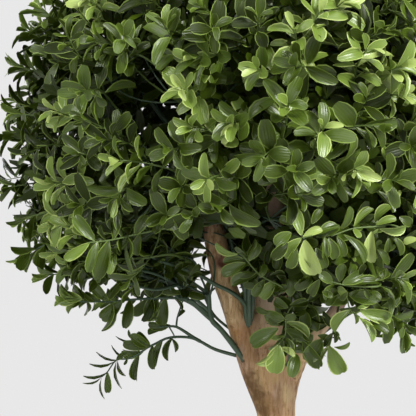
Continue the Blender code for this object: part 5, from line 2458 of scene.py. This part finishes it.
@dataclass
class Studio:
    """Pale floor, soft light from the upper right and the camera."""

    framed_width: float = 0.3466
    sensor_width: float = 36.0
    aim: tuple = (0.0, 0.0, 1.2)
    backdrop: str = "E8E8E8"
    ceiling: str = "5E5E5E"
    floor_colour: str = "D4D4D4"
    # Name, place, side and power of each square lamp
    lamps: tuple = (
        ("key", (1.6, -2.0, 2.7), 0.9, 118.0),
        ("fill", (-0.5, -2.7, 1.2), 1.2, 7.0),
        ("side", (-2.0, -1.1, 2.4), 0.8, 30.0),
        ("back", (0.9, 2.4, 2.2), 1.5, 55.0),
        ("top", (0.2, -0.3, 4.2), 2.4, 50.0),
    )

    def build(self) -> None:
        """Build the floor, the lights, the world and the camera."""
        scene = bpy.context.scene
        scene.view_settings.view_transform = "Standard"
        scene.view_settings.look = "None"
        bpy.ops.mesh.primitive_circle_add(vertices=96, radius=6.5, fill_type="NGON", location=(0, 0, 0))
        floor = bpy.context.object
        floor.name = "studio_floor"
        mat, shader = shader_of("pale_floor")
        shader.inputs["Base Color"].default_value = linear(self.floor_colour)
        shader.inputs["Roughness"].default_value = 0.9
        floor.data.materials.append(mat)
        self.sky(scene)
        for name, place, size, power in self.lamps:
            self.lamp(name, place, size, power)
        data = bpy.data.cameras.new("camera")
        data.sensor_width = self.sensor_width
        data.lens = self.sensor_width * -float(EYE[1]) / self.framed_width
        camera = linked("camera", data)
        camera.location = EYE.tolist()
        camera.rotation_euler = (math.radians(90.0), 0.0, 0.0)
        scene.camera = camera

    def sky(self, scene: bpy.types.Scene) -> None:
        """A pale wall all round under a darker ceiling, as world light.

        Args:
            scene: The scene that takes the world.
        """
        world = bpy.data.worlds.new("studio")
        scene.world = world
        world.use_nodes = True
        tree = world.node_tree
        heading = add_node(tree, "ShaderNodeTexCoord").outputs["Generated"]
        height = add_node(tree, "ShaderNodeSeparateXYZ", {"Vector": heading}).outputs["Z"]
        tone = add_node(tree, "ShaderNodeValToRGB", {"Fac": height})
        set_ramp(tone, ((0.15, self.backdrop), (0.40, self.ceiling)))
        back = tree.nodes["Background"]
        tree.links.new(tone.outputs["Color"], back.inputs["Color"])
        back.inputs["Strength"].default_value = 1.0

    def lamp(self, name: str, place: tuple, size: float, power: float) -> None:
        """Add a soft square lamp that looks at the upper ball.

        Args:
            name: Name of the lamp.
            place: Where it stands.
            size: Side of the square.
            power: Power in watts.
        """
        data = bpy.data.lights.new(name, "AREA")
        data.size = size
        data.energy = power
        ob = linked(name, data)
        ob.location = place
        aim = Vector(self.aim) - Vector(place)
        ob.rotation_euler = aim.to_track_quat("-Z", "Y").to_euler()


UPPER_HEADINGS = {
    "top": heading_of(0, 90),
    "front": heading_of(-90, 24),
    "right": heading_of(0, 24),
    "back": heading_of(90, 24),
    "left": heading_of(180, 24),
    "low_front_right": heading_of(-54, -30),
    "low_back_right": heading_of(36, -30),
    "low_back_left": heading_of(126, -30),
    "low_front_left": heading_of(-144, -30),
}
LOWER_HEADINGS = {
    "high_front_right": heading_of(-45, 34),
    "high_back_right": heading_of(45, 34),
    "high_back_left": heading_of(135, 34),
    "high_front_left": heading_of(-135, 34),
    "low_front": heading_of(-90, -28),
    "low_right": heading_of(0, -28),
    "low_back": heading_of(90, -28),
    "low_left": heading_of(180, -28),
}
# Hollows of the upper ball: a path, and the room round it that no twig's tip enters
HOLLOWS = ((((-0.112, -0.215, 1.272), (-0.078, -0.110, 1.262)), 0.036),)
SPRIGS = (
    Sprig(-139, 1323, 165, 15, 1.5, hang=0.30, length=46),
    Sprig(-152, 1279, 200, 60, 1.9, scale=1.05),
    Sprig(-120, 1223, 175, 20, 2.7, hang=0.45, length=44, scale=1.05, width=0.85),
    Sprig(-206, 1301, 168, 5, 1.6, length=44, pairs=7, width=0.70),
    Sprig(-204, 1262, 172, 5, 1.5, length=44, pairs=7, hang=0.2, width=0.70),
    Sprig(-212, 1200, 190, 5, 1.2, length=50, pairs=8, hang=0.6, width=0.62),
    Sprig(-200, 1174, 195, 5, 1.3, length=50, pairs=8, hang=0.7, width=0.62),
    Sprig(-4, 1299, 180, 60, 2.5),
    Sprig(22, 1270, 90, 65, 2.1, scale=1.1),
    Sprig(52, 1250, 60, 60, 2.3, scale=1.05),
    Sprig(87, 1315, 60, 50, 2.8, scale=1.08),
    Sprig(80, 1214, -30, 50, 3.2, scale=1.05),
    Sprig(97, 1252, 0, 30, 1.4, hang=0.5, length=40),
    Sprig(117, 1302, 20, 40, 2.9),
    Sprig(-25, 1254, 200, 60, 2.3, scale=1.08),
    Sprig(26, 1333, 110, 40, 2.7, length=46),
    Sprig(48, 1346, 60, 40, 2.9, scale=1.05),
    Sprig(0, 1225, 220, 60, 1.7, scale=1.08),
    Sprig(-184, 1349, 140, 20, 1.8, length=44, pairs=7, width=0.80),
    Sprig(-196, 1331, 150, 10, 1.5, length=44, pairs=7, width=0.72),
    Sprig(112, 1206, 0, 55, 1.5),
    Sprig(113, 1090, -40, 40, 1.4),
    Sprig(116, 1124, 0, 50, 1.7),
    Sprig(-81, 1335, 120, 40, 1.8),
    Sprig(-58, 1308, 195, 50, 2.2),
    Sprig(-58, 1250, 180, 55, 2.2),
    Sprig(-77, 1231, 200, 50, 1.3),
    Sprig(-47, 1206, 205, 55, 2.5),
    Sprig(57, 1206, 220, 60, 1.2),
    Sprig(118, 1078, 280, 20, 1.8, hang=0.4),
    # Darker ones, deeper in, behind the sprays that are set leaf by leaf
    Sprig(36, 1157, -75, 60, 1.2, depth=0.84),
    Sprig(70, 1124, -20, 40, 1.2, depth=0.80),
    Sprig(16, 1074, 255, 45, 1.2, depth=0.82),
    Sprig(27, 1096, 80, 60, 1.0, depth=0.75),
    Sprig(0, 1122, 235, 45, 0.8, depth=0.62),
    Sprig(-12, 1142, 170, 40, 0.9, depth=0.60),
    Sprig(38, 1070, 268, 25, 1.0, depth=0.80),
    Sprig(86, 1170, 0, 50, 1.4, depth=0.86),
    Sprig(96, 1150, -20, 60, 1.3, depth=0.86),
    Sprig(90, 1110, -30, 50, 1.4, depth=0.90),
    Sprig(48, 1136, 200, 50, 1.1, depth=0.82),
    Sprig(70, 1144, 20, 50, 1.2, depth=0.84),
)


def main() -> None:
    """Build every sub-assembly in order."""
    Studio().build()
    pole = Pole().build()
    bark = BVHTree.FromObject(pole, bpy.context.evaluated_depsgraph_get())
    leaf_slots = [LEAF_FINISHES[tone].build() for tone in Tone]
    stem_slots = [STEM_FINISHES[tone].build() for tone in StemTone]
    upper = UpperBall("upper", np.array((0.0, 0.0, 1.240)), 0.226, UPPER_HEADINGS, bark, 5)
    upper.hollows = HOLLOWS
    upper.sprigs = SPRIGS
    upper.cleared = np.array([place for spray in HAND_SPRAYS for place in spray.places()])
    upper.grow()
    upper.build(leaf_slots, stem_slots)
    OpenSide(upper).build(leaf_slots, stem_slots)
    lower = Ball("lower", np.array((0.0, 0.0, 0.660)), 0.237, LOWER_HEADINGS, bark, 9)
    lower.grow()
    lower.build(leaf_slots, stem_slots)
    Pot().build()
    Fill().build(random.Random(3))


if __name__ == "__main__":
    main()
